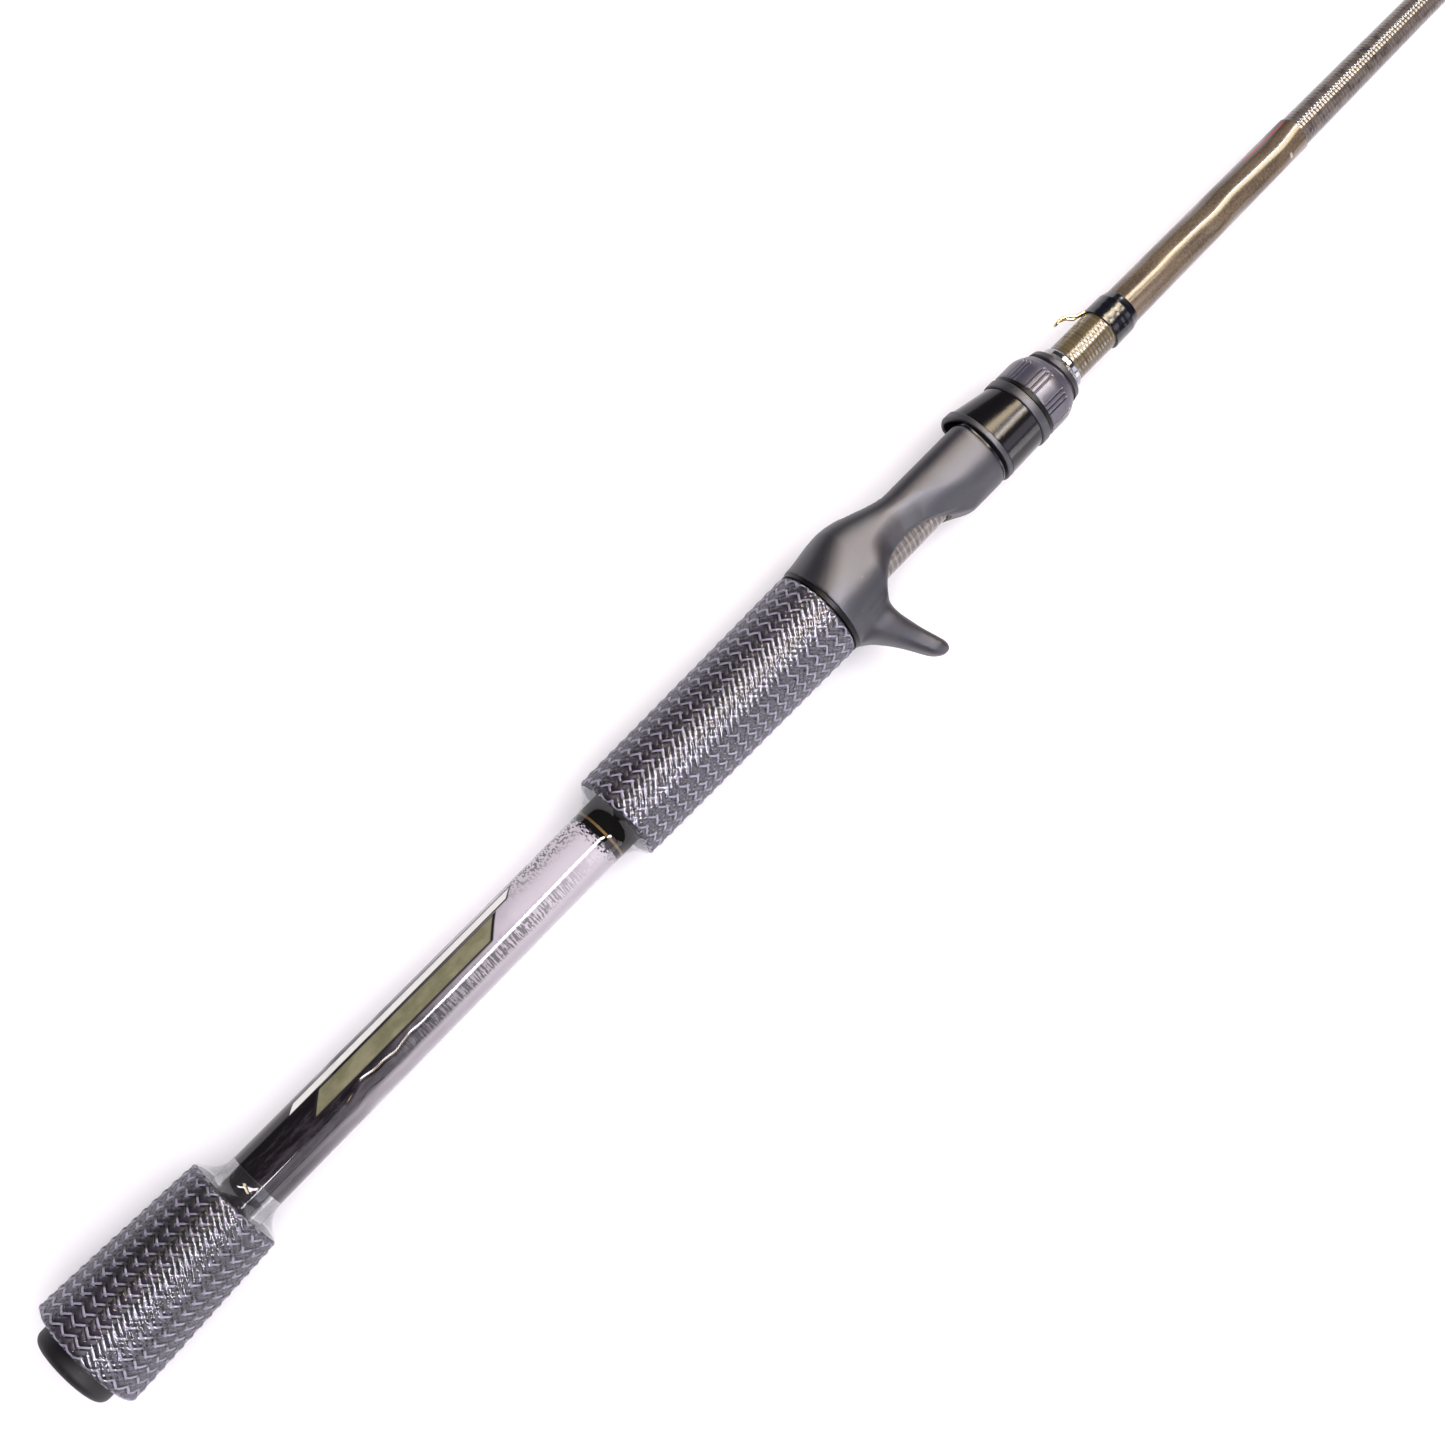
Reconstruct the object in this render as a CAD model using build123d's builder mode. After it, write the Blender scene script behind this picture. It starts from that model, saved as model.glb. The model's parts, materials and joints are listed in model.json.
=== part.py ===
from build123d import *
import math
import os

os.makedirs("parts", exist_ok=True)

# A baitcasting rod, millimetres. X runs from the butt to the tip along the blank's axis,
# +Y is the side of the reel and the line guides, -Y is the side of the finger trigger.
# The origin is the centre of the butt cap's flat end.

# ---- driving dimensions ------------------------------------------------------------------

# overall and blank: outer diameters at the stations where its taper changes
rod_length = 2083.0
blank_butt_d = 15.2
blank_grip_d = 14.6
blank_seat_d = 13.4
blank_keeper_d = 11.4
blank_label_d = 10.1
blank_fore_d = 9.0
blank_tip_d = 2.0
blank_butt_wall = 1.3
blank_tip_wall = 0.55
fore_taper_len = 60.0
glue = 0.05

# butt cap
cap_d = 23.4
cap_len = 5.5
cap_round = 2.4
cap_plug_len = 14.0

# rear grip, its braided sleeve and the clear resin ramp ahead of it
rear_grip_len = 50.0
rear_grip_rear_d = 33.3
rear_grip_front_d = 29.0
sleeve_t = 1.8
grip_round = 1.5
ramp_len = 7.4
ramp_edge = 0.15
ramp_hollow = 0.3

# exposed rear shaft: printed scrim under a clear coat
shaft_len = 119.9
scrim_t = 0.2
shaft_coat_rear_d = 16.5
shaft_coat_front_d = 15.9

# trim under the main grip's ramp
gold_ring_back = 1.5
gold_ring_w = 0.7

# main grip
main_grip_len = 78.6
main_grip_rear_d = 26.6
grip_seat_step = 0.05
seat_trim_w = 1.2
seat_trim_step = 0.35

# reel seat body: heights above and below the axis, and half widths, at its sections
seat_len = 63.5
seat_rear_r = 14.0
main_grip_front_d = 2 * (seat_rear_r - grip_seat_step)
ridge_back = 13.2
ridge_h = 15.4
neck_back = 26.6
bed_back = 35.0
bed_h = 9.8
bed_crown = 0.5
seat_belly = 10.45
seat_front_half_w = 10.9
foot_slot_w = 12.4
foot_slot_h = 2.7
foot_slot_back = 13.5
foot_slot_mouth = 20.5
seat_bore_rear_d = 15.4
seat_bore_front_d = 14.0
seat_front_round = 2.5
seat_front_chamfer = 0.5
bed_ramp = 3.0
round_fill = 0.5523
ridge_fill = 0.85
seat_loft_steps = 24
arbor_gap = 0.03

# finger recess under the seat
recess_back = 15.0
recess_len = 36.5
recess_edge_y = 2.0

# trigger
trigger_drop = 32.1
trigger_back = 0.9
trigger_rake = 13.0
trigger_neck_front = 14.2
trigger_lean = 4.8
trigger_neck_t = 12.5
trigger_tip_t = 6.0
trigger_tip_round = 3.2
trigger_corner = 0.32
trigger_hollow = 1.2
trigger_hollow_drop = 20.0

# threaded barrel
barrel_len = 31.0
thread_crest_d = 17.6
thread_depth = 0.6
thread_pitch = 2.0
keyway_w = 3.0
keyway_depth = 0.85
end_ring_w = 1.6

# hood
hood_gap = 0.7
hood_len = 17.1
hood_lip_w = 1.8
hood_collar_w = 2.8
hood_lip_top = 13.4
hood_lip_round = 1.0
hood_visor = 1.5
hood_visor_y = 8.5
hood_rear_top = 12.9
hood_front_top = 10.5
hood_front_r = 10.6
hood_shell_t = 0.8
hood_collar_d = 22.2
hood_floor_clear = 0.1
hood_pocket_len = 11.0
hood_pocket_top = 12.0
hood_pocket_w = 14.5
hood_pocket_wall = 1.3
key_clear = 0.1

# lock nut
nut_gap = 0.3
nut_len = 11.6
nut_d = 21.7
nut_rear_ring_w = 1.2
nut_front_ring_w = 1.3
nut_sleeve_t = 0.75
nut_neck_len = 2.0
nut_neck_t = 0.55
nut_lip_w = 0.8
nut_lip_h = 0.35
snap_clear = 0.15
thread_clear = 0.08
nut_groove_groups = 9
nut_grooves_per_group = 3
nut_groove_angle = 8.0
nut_groove_r = 0.45
nut_groove_inset = 0.15
nut_nose = 3.4
nut_nose_drop = 1.0
nut_nose_steps = 6
nut_ring_step = 0.1
nut_ring_edge = 0.6

# fore end: resin, winding check, thread wraps and hook keeper
fore_ramp_w = 1.8
check_w = 2.0
check_d = 13.5
check_gap = 1.4
keeper_wrap_len = 13.9
keeper_wrap_d = 12.1
black_wrap_len = 9.4
black_wrap_rear_d = 13.4
black_wrap_front_d = 11.9
label_len = 76.5
label_t = 0.28
keeper_wire_d = 0.8
keeper_spread = 2.4
keeper_rise = 9.6
keeper_lift = 2.9
keeper_arch = 4.4
keeper_arch_h = 8.9
keeper_crown = 6.5
keeper_crown_h = 9.75
keeper_tip_spread = 1.9
keeper_back = 8.4
keeper_foot_len = 7.0
keeper_bend = 1.2
keeper_bend_r = 0.8
keeper_stand = 0.4

# line guides: distance from the tip and outer diameter of the ring, butt end first
guide_spots = [
    (1200.0, 12.0),
    (1005.0, 10.0),
    (808.0, 8.0),
    (630.0, 7.0),
    (472.0, 6.0),
    (335.0, 6.0),
    (213.0, 6.0),
    (102.0, 6.0),
]
double_foot_guides = 3
guide_ring_t = 1.1
guide_ring_w = 1.5
guide_hoop_t = 0.55
guide_hoop_w = 1.0
guide_rise = 4.2
guide_leg_w = 1.8
guide_leg_t = 0.8
guide_foot_h = 0.5
guide_foot_len = 9.0
guide_wrap_t = 0.9
guide_wrap_over = 2.5
tip_tube_len = 11.0
tip_tube_t = 0.35
tip_tube_insert = 9.0
tip_ring_d = 6.0
tip_wrap_len = 6.0
tip_wrap_t = 0.35

# ---- stations along the rod --------------------------------------------------------------

x_rear_grip = cap_len
x_rear_ramp = x_rear_grip + rear_grip_len
x_shaft = x_rear_ramp + ramp_len
x_main_ramp = x_shaft + shaft_len
x_main_grip = x_main_ramp + ramp_len
x_seat_trim = x_main_grip + main_grip_len
x_seat = x_seat_trim + seat_trim_w
x_seat_front = x_seat + seat_len
x_hood = x_seat_front + hood_gap
x_hood_front = x_hood + hood_len
x_nut = x_hood_front + nut_gap
x_nut_front = x_nut + nut_len
x_barrel_front = x_seat_front + barrel_len
x_fore_ramp = x_barrel_front + end_ring_w
x_check = x_fore_ramp + fore_ramp_w
x_keeper_wrap = x_check + check_w + check_gap
x_black_wrap = x_keeper_wrap + keeper_wrap_len
x_label = x_black_wrap + black_wrap_len
x_label_front = x_label + label_len
x_tip_tube = rod_length - tip_ring_d / 2 - tip_tube_len
x_blank_front = x_tip_tube + tip_tube_insert

blank_stations = [
    (cap_len, blank_butt_d / 2),
    (x_main_grip, blank_grip_d / 2),
    (x_seat + seat_len / 2, blank_seat_d / 2),
    (x_keeper_wrap, blank_keeper_d / 2),
    (x_label_front, blank_label_d / 2),
    (x_label_front + fore_taper_len, blank_fore_d / 2),
    (x_blank_front, blank_tip_d / 2),
]


def blank_r(x):
    """Outer radius of the blank at x."""
    for (x0, r0), (x1, r1) in zip(blank_stations, blank_stations[1:]):
        if x <= x1:
            return r0 + (r1 - r0) * (x - x0) / (x1 - x0)
    return blank_stations[-1][1]


def blank_line(x0, x1, gap=glue):
    """Points that follow the blank's surface from x0 to x1, a glue line off it."""
    inner = [x for x, _ in blank_stations if x0 < x < x1]
    return [(x, blank_r(x) + gap) for x in [x0, *inner, x1]]


def turned(outer, inner, end_round=0):
    """Half section of a turned piece, its outer ends rounded where that is asked for."""
    with BuildSketch(Plane.XY) as section:
        with BuildLine():
            Polyline(*outer, *reversed(inner), close=True)
        make_face()
        if end_round:
            rear = section.vertices().sort_by_distance((*outer[0], 0))[0]
            front = section.vertices().sort_by_distance((*outer[-1], 0))[0]
            fillet([rear, front], end_round)
    return section.sketch


def lerp_r(x, x0, r0, x1, r1):
    """Radius at x on the straight line between two stations."""
    return r0 + (r1 - r0) * (x - x0) / (x1 - x0)


def save(builder, name):
    """Label a finished piece and write its STEP file."""
    builder.part.label = name
    export_step(builder.part, "parts/" + name + ".step")


# ---- blank and butt ----------------------------------------------------------------------

def bore_r(x):
    """Inner radius of the hollow blank at x."""
    wall = lerp_r(x, cap_len, blank_butt_wall, x_blank_front, blank_tip_wall)
    return blank_r(x) - wall


with BuildPart() as blank:
    blank_outer = [(x, r) for x, r in blank_stations]
    blank_inner = [(x, bore_r(x)) for x, _ in blank_stations]
    revolve(turned(blank_outer, blank_inner), axis=Axis.X)
save(blank, "blank")

with BuildPart() as butt_cap:
    with BuildSketch(Plane.YZ):
        Circle(cap_d / 2)
    extrude(amount=cap_len)
    fillet(butt_cap.faces().sort_by(Axis.X)[0].edges(), cap_round)
    with BuildSketch(Plane.YZ.offset(cap_len)):
        Circle(bore_r(cap_len + cap_plug_len) - glue)
    extrude(amount=cap_plug_len)
save(butt_cap, "butt_cap")

# ---- rear grip ---------------------------------------------------------------------------

rear_sleeve_in = [
    (x_rear_grip, rear_grip_rear_d / 2 - sleeve_t),
    (x_rear_ramp, rear_grip_front_d / 2 - sleeve_t),
]
rear_sleeve_out = [
    (x_rear_grip, rear_grip_rear_d / 2),
    (x_rear_ramp, rear_grip_front_d / 2),
]

with BuildPart() as rear_grip_core:
    revolve(turned(rear_sleeve_in, blank_line(x_rear_grip, x_rear_ramp)), axis=Axis.X)
save(rear_grip_core, "rear_grip_core")

with BuildPart() as rear_grip_sleeve:
    revolve(turned(rear_sleeve_out, rear_sleeve_in, grip_round), axis=Axis.X)
save(rear_grip_sleeve, "rear_grip_sleeve")


def coat_r(x):
    """Outer radius of the exposed shaft's clear coat at x."""
    return lerp_r(x, x_shaft, shaft_coat_rear_d / 2, x_main_ramp, shaft_coat_front_d / 2)


def ramp(thin, thick, inner):
    """Half section of a hollow-sided resin ramp; inner runs from its thick to its thin end."""
    bend = ((thin[0] + thick[0]) / 2, thin[1] + (thick[1] - thin[1]) * ramp_hollow)
    with BuildSketch(Plane.XY) as section:
        with BuildLine():
            ThreePointArc(thin, bend, thick)
            Polyline(thick, *inner, thin)
        make_face()
    return section.sketch


rear_ramp_top = rear_grip_front_d / 2 - grip_round
with BuildPart() as rear_grip_ramp:
    ramp_seat = [(x_rear_ramp, coat_r(x_rear_ramp)), (x_shaft, coat_r(x_shaft))]
    thin_end = (x_shaft, coat_r(x_shaft) + ramp_edge)
    revolve(ramp(thin_end, (x_rear_ramp, rear_ramp_top), ramp_seat), axis=Axis.X)
save(rear_grip_ramp, "rear_grip_ramp")

# ---- exposed shaft -----------------------------------------------------------------------

scrim_out = [(x, r + scrim_t) for x, r in blank_line(x_rear_ramp, x_main_grip)]
with BuildPart() as shaft_scrim:
    revolve(turned(scrim_out, blank_line(x_rear_ramp, x_main_grip)), axis=Axis.X)
save(shaft_scrim, "shaft_scrim")

coat_in = [(x, r + scrim_t) for x, r in blank_line(x_rear_ramp, x_main_ramp)]
with BuildPart() as shaft_clearcoat:
    coat_out = [(x_rear_ramp, coat_r(x_rear_ramp)), (x_main_ramp, coat_r(x_main_ramp))]
    revolve(turned(coat_out, coat_in), axis=Axis.X)
save(shaft_clearcoat, "shaft_clearcoat")

x_gold = x_main_ramp + gold_ring_back
x_gold_front = x_gold + gold_ring_w
band_r = coat_r(x_main_ramp)


def band(x0, x1):
    """Half section of a straight-sided ring on the scrim."""
    seat_line = [(x, r + scrim_t) for x, r in blank_line(x0, x1)]
    return turned([(x0, band_r), (x1, band_r)], seat_line)


with BuildPart() as trim_band:
    revolve(band(x_main_ramp, x_gold), axis=Axis.X)
    revolve(band(x_gold_front, x_main_grip), axis=Axis.X)
save(trim_band, "trim_band")

with BuildPart() as trim_gold_ring:
    revolve(band(x_gold, x_gold_front), axis=Axis.X)
save(trim_gold_ring, "trim_gold_ring")

# ---- main grip ---------------------------------------------------------------------------

main_sleeve_in = [
    (x_main_grip, main_grip_rear_d / 2 - sleeve_t),
    (x_seat_trim, main_grip_front_d / 2 - sleeve_t),
]
main_sleeve_out = [
    (x_main_grip, main_grip_rear_d / 2),
    (x_seat_trim, main_grip_front_d / 2),
]

with BuildPart() as main_grip_core:
    revolve(turned(main_sleeve_in, blank_line(x_main_grip, x_seat_trim)), axis=Axis.X)
save(main_grip_core, "main_grip_core")

with BuildPart() as main_grip_sleeve:
    revolve(turned(main_sleeve_out, main_sleeve_in, grip_round), axis=Axis.X)
save(main_grip_sleeve, "main_grip_sleeve")

main_ramp_top = main_grip_rear_d / 2 - grip_round
with BuildPart() as main_grip_ramp:
    ramp_seat = [(x_main_grip, band_r), (x_main_ramp, band_r)]
    thin_end = (x_main_ramp, band_r + ramp_edge)
    revolve(ramp(thin_end, (x_main_grip, main_ramp_top), ramp_seat), axis=Axis.X)
save(main_grip_ramp, "main_grip_ramp")

with BuildPart() as seat_trim_ring:
    trim_r = seat_rear_r - seat_trim_step
    revolve(turned([(x_seat_trim, trim_r), (x_seat, trim_r)], blank_line(x_seat_trim, x_seat)),
            axis=Axis.X)
save(seat_trim_ring, "seat_trim_ring")

# ---- reel seat ---------------------------------------------------------------------------

thread_crest_r = thread_crest_d / 2
thread_root_r = thread_crest_r - thread_depth
seat_bore_rear_r = seat_bore_rear_d / 2
seat_bore_front_r = seat_bore_front_d / 2
x_recess = x_seat + recess_back
x_recess_front = x_recess + recess_len


def egg(x, top, bottom, half_width, top_fill=round_fill):
    """Section across the rod, rounder or squarer above the axis by its top fill."""
    with BuildSketch(Plane.YZ.offset(x)) as section:
        with BuildLine():
            for side in (1, -1):
                wide = side * half_width
                Bezier((top, 0), (top, top_fill * wide), (top_fill * top, wide), (0, wide))
                Bezier((0, wide), (-round_fill * bottom, wide), (-bottom, round_fill * wide),
                       (-bottom, 0))
        make_face()
    return section.sketch


def eased(x, knots):
    """Value at x on the smooth monotone curve through the knots."""
    for (x0, v0), (x1, v1) in zip(knots, knots[1:]):
        if x <= x1:
            t = (x - x0) / (x1 - x0)
            return v0 + (v1 - v0) * t * t * (3 - 2 * t)
    return knots[-1][1]


seat_top_knots = [(0.0, seat_rear_r), (ridge_back, ridge_h), (bed_back, bed_h + bed_crown)]
seat_belly_knots = [(0.0, seat_rear_r), (neck_back, seat_belly)]
seat_width_knots = [(0.0, seat_rear_r), (bed_back, seat_front_half_w)]


def seat_section(back):
    """Section of the seat's body at a distance ahead of its rear end."""
    lip = max(0.0, back - (seat_len - seat_front_round)) / seat_front_round
    top = eased(back, seat_top_knots) - seat_front_round * 0.7 * lip * lip
    trim = seat_front_chamfer * lip * lip
    fill = round_fill + (ridge_fill - round_fill) * min(1.0, back / ridge_back)
    return egg(x_seat + back, top, eased(back, seat_belly_knots) - trim,
               eased(back, seat_width_knots) - trim, fill)


seat_steps = [seat_len * i / seat_loft_steps for i in range(seat_loft_steps)]
seat_steps = [back for back in seat_steps if back < seat_len - seat_front_round]
seat_steps += [seat_len - seat_front_round * share for share in (1.0, 0.55, 0.2, 0.0)]


def trigger_section(drop):
    """Flat section across the trigger at a drop below the axis, closing to a round tip."""
    share = max(0.0, drop - trigger_neck_drop) / (trigger_drop - trigger_neck_drop)
    rear = trigger_back + trigger_rake * share**0.7
    front = trigger_neck_front + trigger_lean * share**1.3
    thick = trigger_neck_t + (trigger_tip_t - trigger_neck_t) * share
    past = max(0.0, drop - (trigger_drop - trigger_tip_round)) / trigger_tip_round
    close = math.sqrt(1 - 0.93 * past * past)
    middle = x_seat + (rear + front) / 2
    level = Plane(origin=(middle, -drop, 0), x_dir=(1, 0, 0), z_dir=(0, -1, 0))
    with BuildSketch(level) as section:
        RectangleRounded(close * (front - rear), close * thick, close * thick * trigger_corner)
    return section.sketch


trigger_neck_drop = seat_rear_r
trigger_straight = trigger_drop - trigger_tip_round - trigger_neck_drop
trigger_drops = [seat_rear_r * 0.4]
trigger_drops += [trigger_neck_drop + trigger_straight * i / 8 for i in range(8)]
trigger_drops += [trigger_drop - trigger_tip_round * (1 - i) for i in (0, 0.35, 0.6, 0.8, 0.93, 1)]

with BuildPart() as reel_seat_body:
    loft([seat_section(back) for back in seat_steps], ruled=True)
    # bed for the reel foot, and the slot that takes the foot's rear end
    with BuildSketch(Plane.XY.offset(-seat_rear_r)):
        with Locations((x_seat + bed_back - bed_ramp, bed_h)):
            Rectangle(seat_len, ridge_h, align=(Align.MIN, Align.MIN))
    extrude(amount=2 * seat_rear_r, mode=Mode.SUBTRACT)
    with BuildSketch(Plane.XY.offset(-foot_slot_w / 2)):
        with Locations((x_seat + foot_slot_back, bed_h)):
            Rectangle(bed_back - foot_slot_back, foot_slot_h, align=(Align.MIN, Align.MIN))
        with Locations((x_seat + foot_slot_mouth, bed_h)):
            Rectangle(bed_back - foot_slot_mouth, ridge_h, align=(Align.MIN, Align.MIN))
    extrude(amount=foot_slot_w, mode=Mode.SUBTRACT)
    # trigger
    loft([trigger_section(drop) for drop in trigger_drops], ruled=True)
    # finger recess, hollowed on into the trigger's root
    with BuildSketch(Plane.XY.offset(-seat_rear_r)):
        with BuildLine():
            recess_line = Spline(
                (x_recess + trigger_hollow, -trigger_hollow_drop),
                (x_recess - 1.0, -seat_belly - 5.6),
                (x_recess - 1.5, -seat_belly - 2.4),
                (x_recess - 0.6, -seat_belly + 0.8),
                (x_recess + 2.8, -seat_belly + 4.5),
                (x_recess + 0.42 * recess_len, -recess_edge_y),
                (x_recess + 0.72 * recess_len, -seat_belly + 4.9),
                (x_recess_front, -seat_belly - 0.3),
            )
            Polyline(recess_line @ 1, (x_recess_front, -trigger_hollow_drop), recess_line @ 0)
        make_face()
    extrude(amount=2 * seat_rear_r, mode=Mode.SUBTRACT)
    # threaded barrel under the hood and nut
    with BuildSketch(Plane.YZ.offset(x_seat_front)):
        Circle(thread_root_r)
    extrude(amount=barrel_len)
    crest_count = int(barrel_len / thread_pitch)
    for turn in range(crest_count):
        x_crest = x_seat_front + (turn + 0.5) * thread_pitch
        with BuildSketch(Plane.XY):
            with BuildLine():
                Polyline(
                    (x_crest - thread_pitch * 0.4, thread_root_r - thread_depth),
                    (x_crest - thread_pitch * 0.4, thread_root_r),
                    (x_crest - thread_pitch * 0.15, thread_crest_r),
                    (x_crest + thread_pitch * 0.15, thread_crest_r),
                    (x_crest + thread_pitch * 0.4, thread_root_r),
                    (x_crest + thread_pitch * 0.4, thread_root_r - thread_depth),
                    close=True,
                )
            make_face()
        revolve(axis=Axis.X)
    # keyway along the underside of the barrel
    with BuildSketch(Plane.YZ.offset(x_seat_front)):
        with Locations((-thread_crest_r + keyway_depth, 0)):
            Rectangle(thread_crest_r, keyway_w, align=(Align.MAX, Align.CENTER))
    extrude(amount=barrel_len, mode=Mode.SUBTRACT)
    # bores for the blank and its arbors
    with BuildSketch(Plane.YZ.offset(x_seat)):
        Circle(seat_bore_rear_r)
    extrude(amount=x_recess_front - x_seat - 8, mode=Mode.SUBTRACT)
    with BuildSketch(Plane.YZ.offset(x_seat)):
        Circle(seat_bore_front_r)
    extrude(amount=seat_len + barrel_len, mode=Mode.SUBTRACT)
save(reel_seat_body, "reel_seat_body")

x_bore_step = x_recess_front - 8

with BuildPart() as seat_arbor_rear:
    arbor_out = [(x_seat, seat_bore_rear_r - arbor_gap), (x_recess, seat_bore_rear_r - arbor_gap)]
    revolve(turned(arbor_out, blank_line(x_seat, x_recess)), axis=Axis.X)
save(seat_arbor_rear, "seat_arbor_rear")

with BuildPart() as seat_arbor_front:
    arbor_r = seat_bore_front_r - arbor_gap
    revolve(turned([(x_bore_step, arbor_r), (x_barrel_front, arbor_r)],
                   blank_line(x_bore_step, x_barrel_front)), axis=Axis.X)
save(seat_arbor_front, "seat_arbor_front")

# ---- sliding hood ------------------------------------------------------------------------

hood_bore_r = thread_crest_r + hood_floor_clear
x_shell = x_hood + hood_lip_w
x_collar = x_hood_front - hood_collar_w

# room for the reel foot: an arch that keeps an even wall under the lip
x_pocket = x_hood - hood_visor
x_pocket_front = x_hood + hood_pocket_len
with BuildPart() as foot_pocket:
    with BuildSketch(Plane.XY.offset(-hood_pocket_w / 2)):
        with BuildLine():
            Polyline(
                (x_pocket, 0),
                (x_pocket, hood_pocket_top + 1),
                (x_hood, hood_pocket_top + 1),
                (x_pocket_front, hood_bore_r + 0.2),
                (x_pocket_front, 0),
                close=True,
            )
        make_face()
    extrude(amount=hood_pocket_w)
    pocket_half = seat_front_half_w - hood_pocket_wall
    loft([egg(x_pocket, hood_pocket_top, pocket_half, pocket_half),
          egg(x_pocket_front, hood_bore_r + 0.2, pocket_half, pocket_half)],
         ruled=True, mode=Mode.INTERSECT)

with BuildPart() as hood_insert:
    # lip with a round rear edge, which reaches back over the reel foot only
    lip_sections = []
    for share in (0, 0.3, 0.6, 0.85, 1):
        shrink = hood_lip_round * (1 - math.sqrt(1 - (1 - share) ** 2))
        half = seat_front_half_w - shrink
        lip_sections.append(egg(x_hood - hood_visor + share * hood_lip_round,
                                hood_lip_top - shrink, half, half))
    lip_sections.append(egg(x_shell, hood_lip_top - 0.1, seat_front_half_w, seat_front_half_w))
    loft(lip_sections, ruled=True)
    with BuildSketch(Plane.XY.offset(-seat_rear_r)):
        with BuildLine():
            Polyline(
                (x_hood - 2 * hood_visor, -seat_rear_r),
                (x_hood, -seat_rear_r),
                (x_hood, hood_visor_y),
                (x_hood - hood_visor, hood_pocket_top),
                (x_hood - 2 * hood_visor, hood_pocket_top),
                close=True,
            )
        make_face()
    extrude(amount=2 * seat_rear_r, mode=Mode.SUBTRACT)
    loft([egg(x_shell, hood_rear_top - hood_shell_t, seat_front_half_w - hood_shell_t,
              seat_front_half_w - hood_shell_t),
          egg(x_collar, hood_front_top - hood_shell_t, hood_front_r - hood_shell_t,
              hood_front_r - hood_shell_t)], ruled=True)
    with BuildSketch(Plane.YZ.offset(x_collar)):
        Circle(hood_collar_d / 2)
    extrude(amount=hood_collar_w)
    # running bore over the barrel
    with BuildSketch(Plane.YZ.offset(x_hood)):
        Circle(hood_bore_r)
    extrude(amount=hood_len, mode=Mode.SUBTRACT)
    add(foot_pocket.part, mode=Mode.SUBTRACT)
    # snap groove for the nut's neck
    neck_r = thread_crest_r + thread_clear + nut_neck_t
    lip_r = neck_r + nut_lip_h
    x_lip = x_nut - nut_neck_len
    with BuildSketch(Plane.YZ.offset(x_lip - snap_clear)):
        Circle(lip_r + snap_clear)
    extrude(amount=nut_lip_w + 2 * snap_clear, mode=Mode.SUBTRACT)
    with BuildSketch(Plane.YZ.offset(x_lip)):
        Circle(neck_r + snap_clear)
    extrude(amount=nut_neck_len + nut_gap, mode=Mode.SUBTRACT)
    # key that runs in the barrel's keyway
    key_low = thread_crest_r - keyway_depth + key_clear
    with BuildSketch(Plane.YZ.offset(x_hood)):
        with Locations((-key_low, 0)):
            Rectangle(hood_bore_r + 0.5 - key_low, keyway_w - 2 * key_clear,
                      align=(Align.MAX, Align.CENTER))
    extrude(amount=hood_pocket_len)
save(hood_insert, "hood_insert")

with BuildPart() as hood_shell:
    loft([egg(x_shell, hood_rear_top, seat_front_half_w, seat_front_half_w),
          egg(x_collar, hood_front_top, hood_front_r, hood_front_r)], ruled=True)
    loft([egg(x_shell, hood_rear_top - hood_shell_t, seat_front_half_w - hood_shell_t,
              seat_front_half_w - hood_shell_t),
          egg(x_collar, hood_front_top - hood_shell_t, hood_front_r - hood_shell_t,
              hood_front_r - hood_shell_t)], ruled=True, mode=Mode.SUBTRACT)
save(hood_shell, "hood_shell")

# ---- lock nut ----------------------------------------------------------------------------

nut_r = nut_d / 2
nut_bore_r = thread_crest_r + thread_clear
nut_sleeve_r = nut_bore_r + nut_sleeve_t
nut_nose_r = nut_r - nut_nose_drop
x_nut_body = x_nut + nut_rear_ring_w
x_nut_nose = x_nut_front - nut_front_ring_w

with BuildPart() as nut_sleeve:
    revolve(turned([(x_nut, nut_sleeve_r), (x_nut_nose, nut_sleeve_r)],
                   [(x_nut, nut_bore_r), (x_nut_nose, nut_bore_r)]), axis=Axis.X)
    revolve(turned([(x_lip, neck_r), (x_nut, neck_r)],
                   [(x_lip, nut_bore_r), (x_nut, nut_bore_r)]), axis=Axis.X)
    revolve(turned([(x_lip, lip_r), (x_lip + nut_lip_w, lip_r)],
                   [(x_lip, nut_bore_r), (x_lip + nut_lip_w, nut_bore_r)]), axis=Axis.X)
save(nut_sleeve, "nut_sleeve")

with BuildPart() as nut_rear_ring:
    ring_r = hood_collar_d / 2 - 0.5
    revolve(turned([(x_nut, ring_r), (x_nut_body, ring_r)],
                   [(x_nut, nut_sleeve_r), (x_nut_body, nut_sleeve_r)]), axis=Axis.X)
save(nut_rear_ring, "nut_rear_ring")

with BuildPart() as lock_nut:
    nut_profile = [(x_nut_body, nut_r)]
    for i in range(nut_nose_steps + 1):
        share = i / nut_nose_steps
        nut_profile.append((x_nut_nose - nut_nose * (1 - share), nut_r - nut_nose_drop * share**1.7))
    revolve(turned(nut_profile, [(x_nut_body, nut_sleeve_r), (x_nut_nose, nut_sleeve_r)]),
            axis=Axis.X)
    for group in range(nut_groove_groups):
        for step in range(nut_grooves_per_group):
            offset_step = step - (nut_grooves_per_group - 1) / 2
            angle = group * 360 / nut_groove_groups + offset_step * nut_groove_angle
            reach = nut_r + nut_groove_inset
            y_cut = reach * math.cos(math.radians(angle))
            z_cut = reach * math.sin(math.radians(angle))
            with BuildSketch(Plane.YZ.offset(x_nut_body)):
                with Locations((y_cut, z_cut)):
                    Circle(nut_groove_r)
            extrude(amount=nut_len, mode=Mode.SUBTRACT)
save(lock_nut, "lock_nut")

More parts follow.
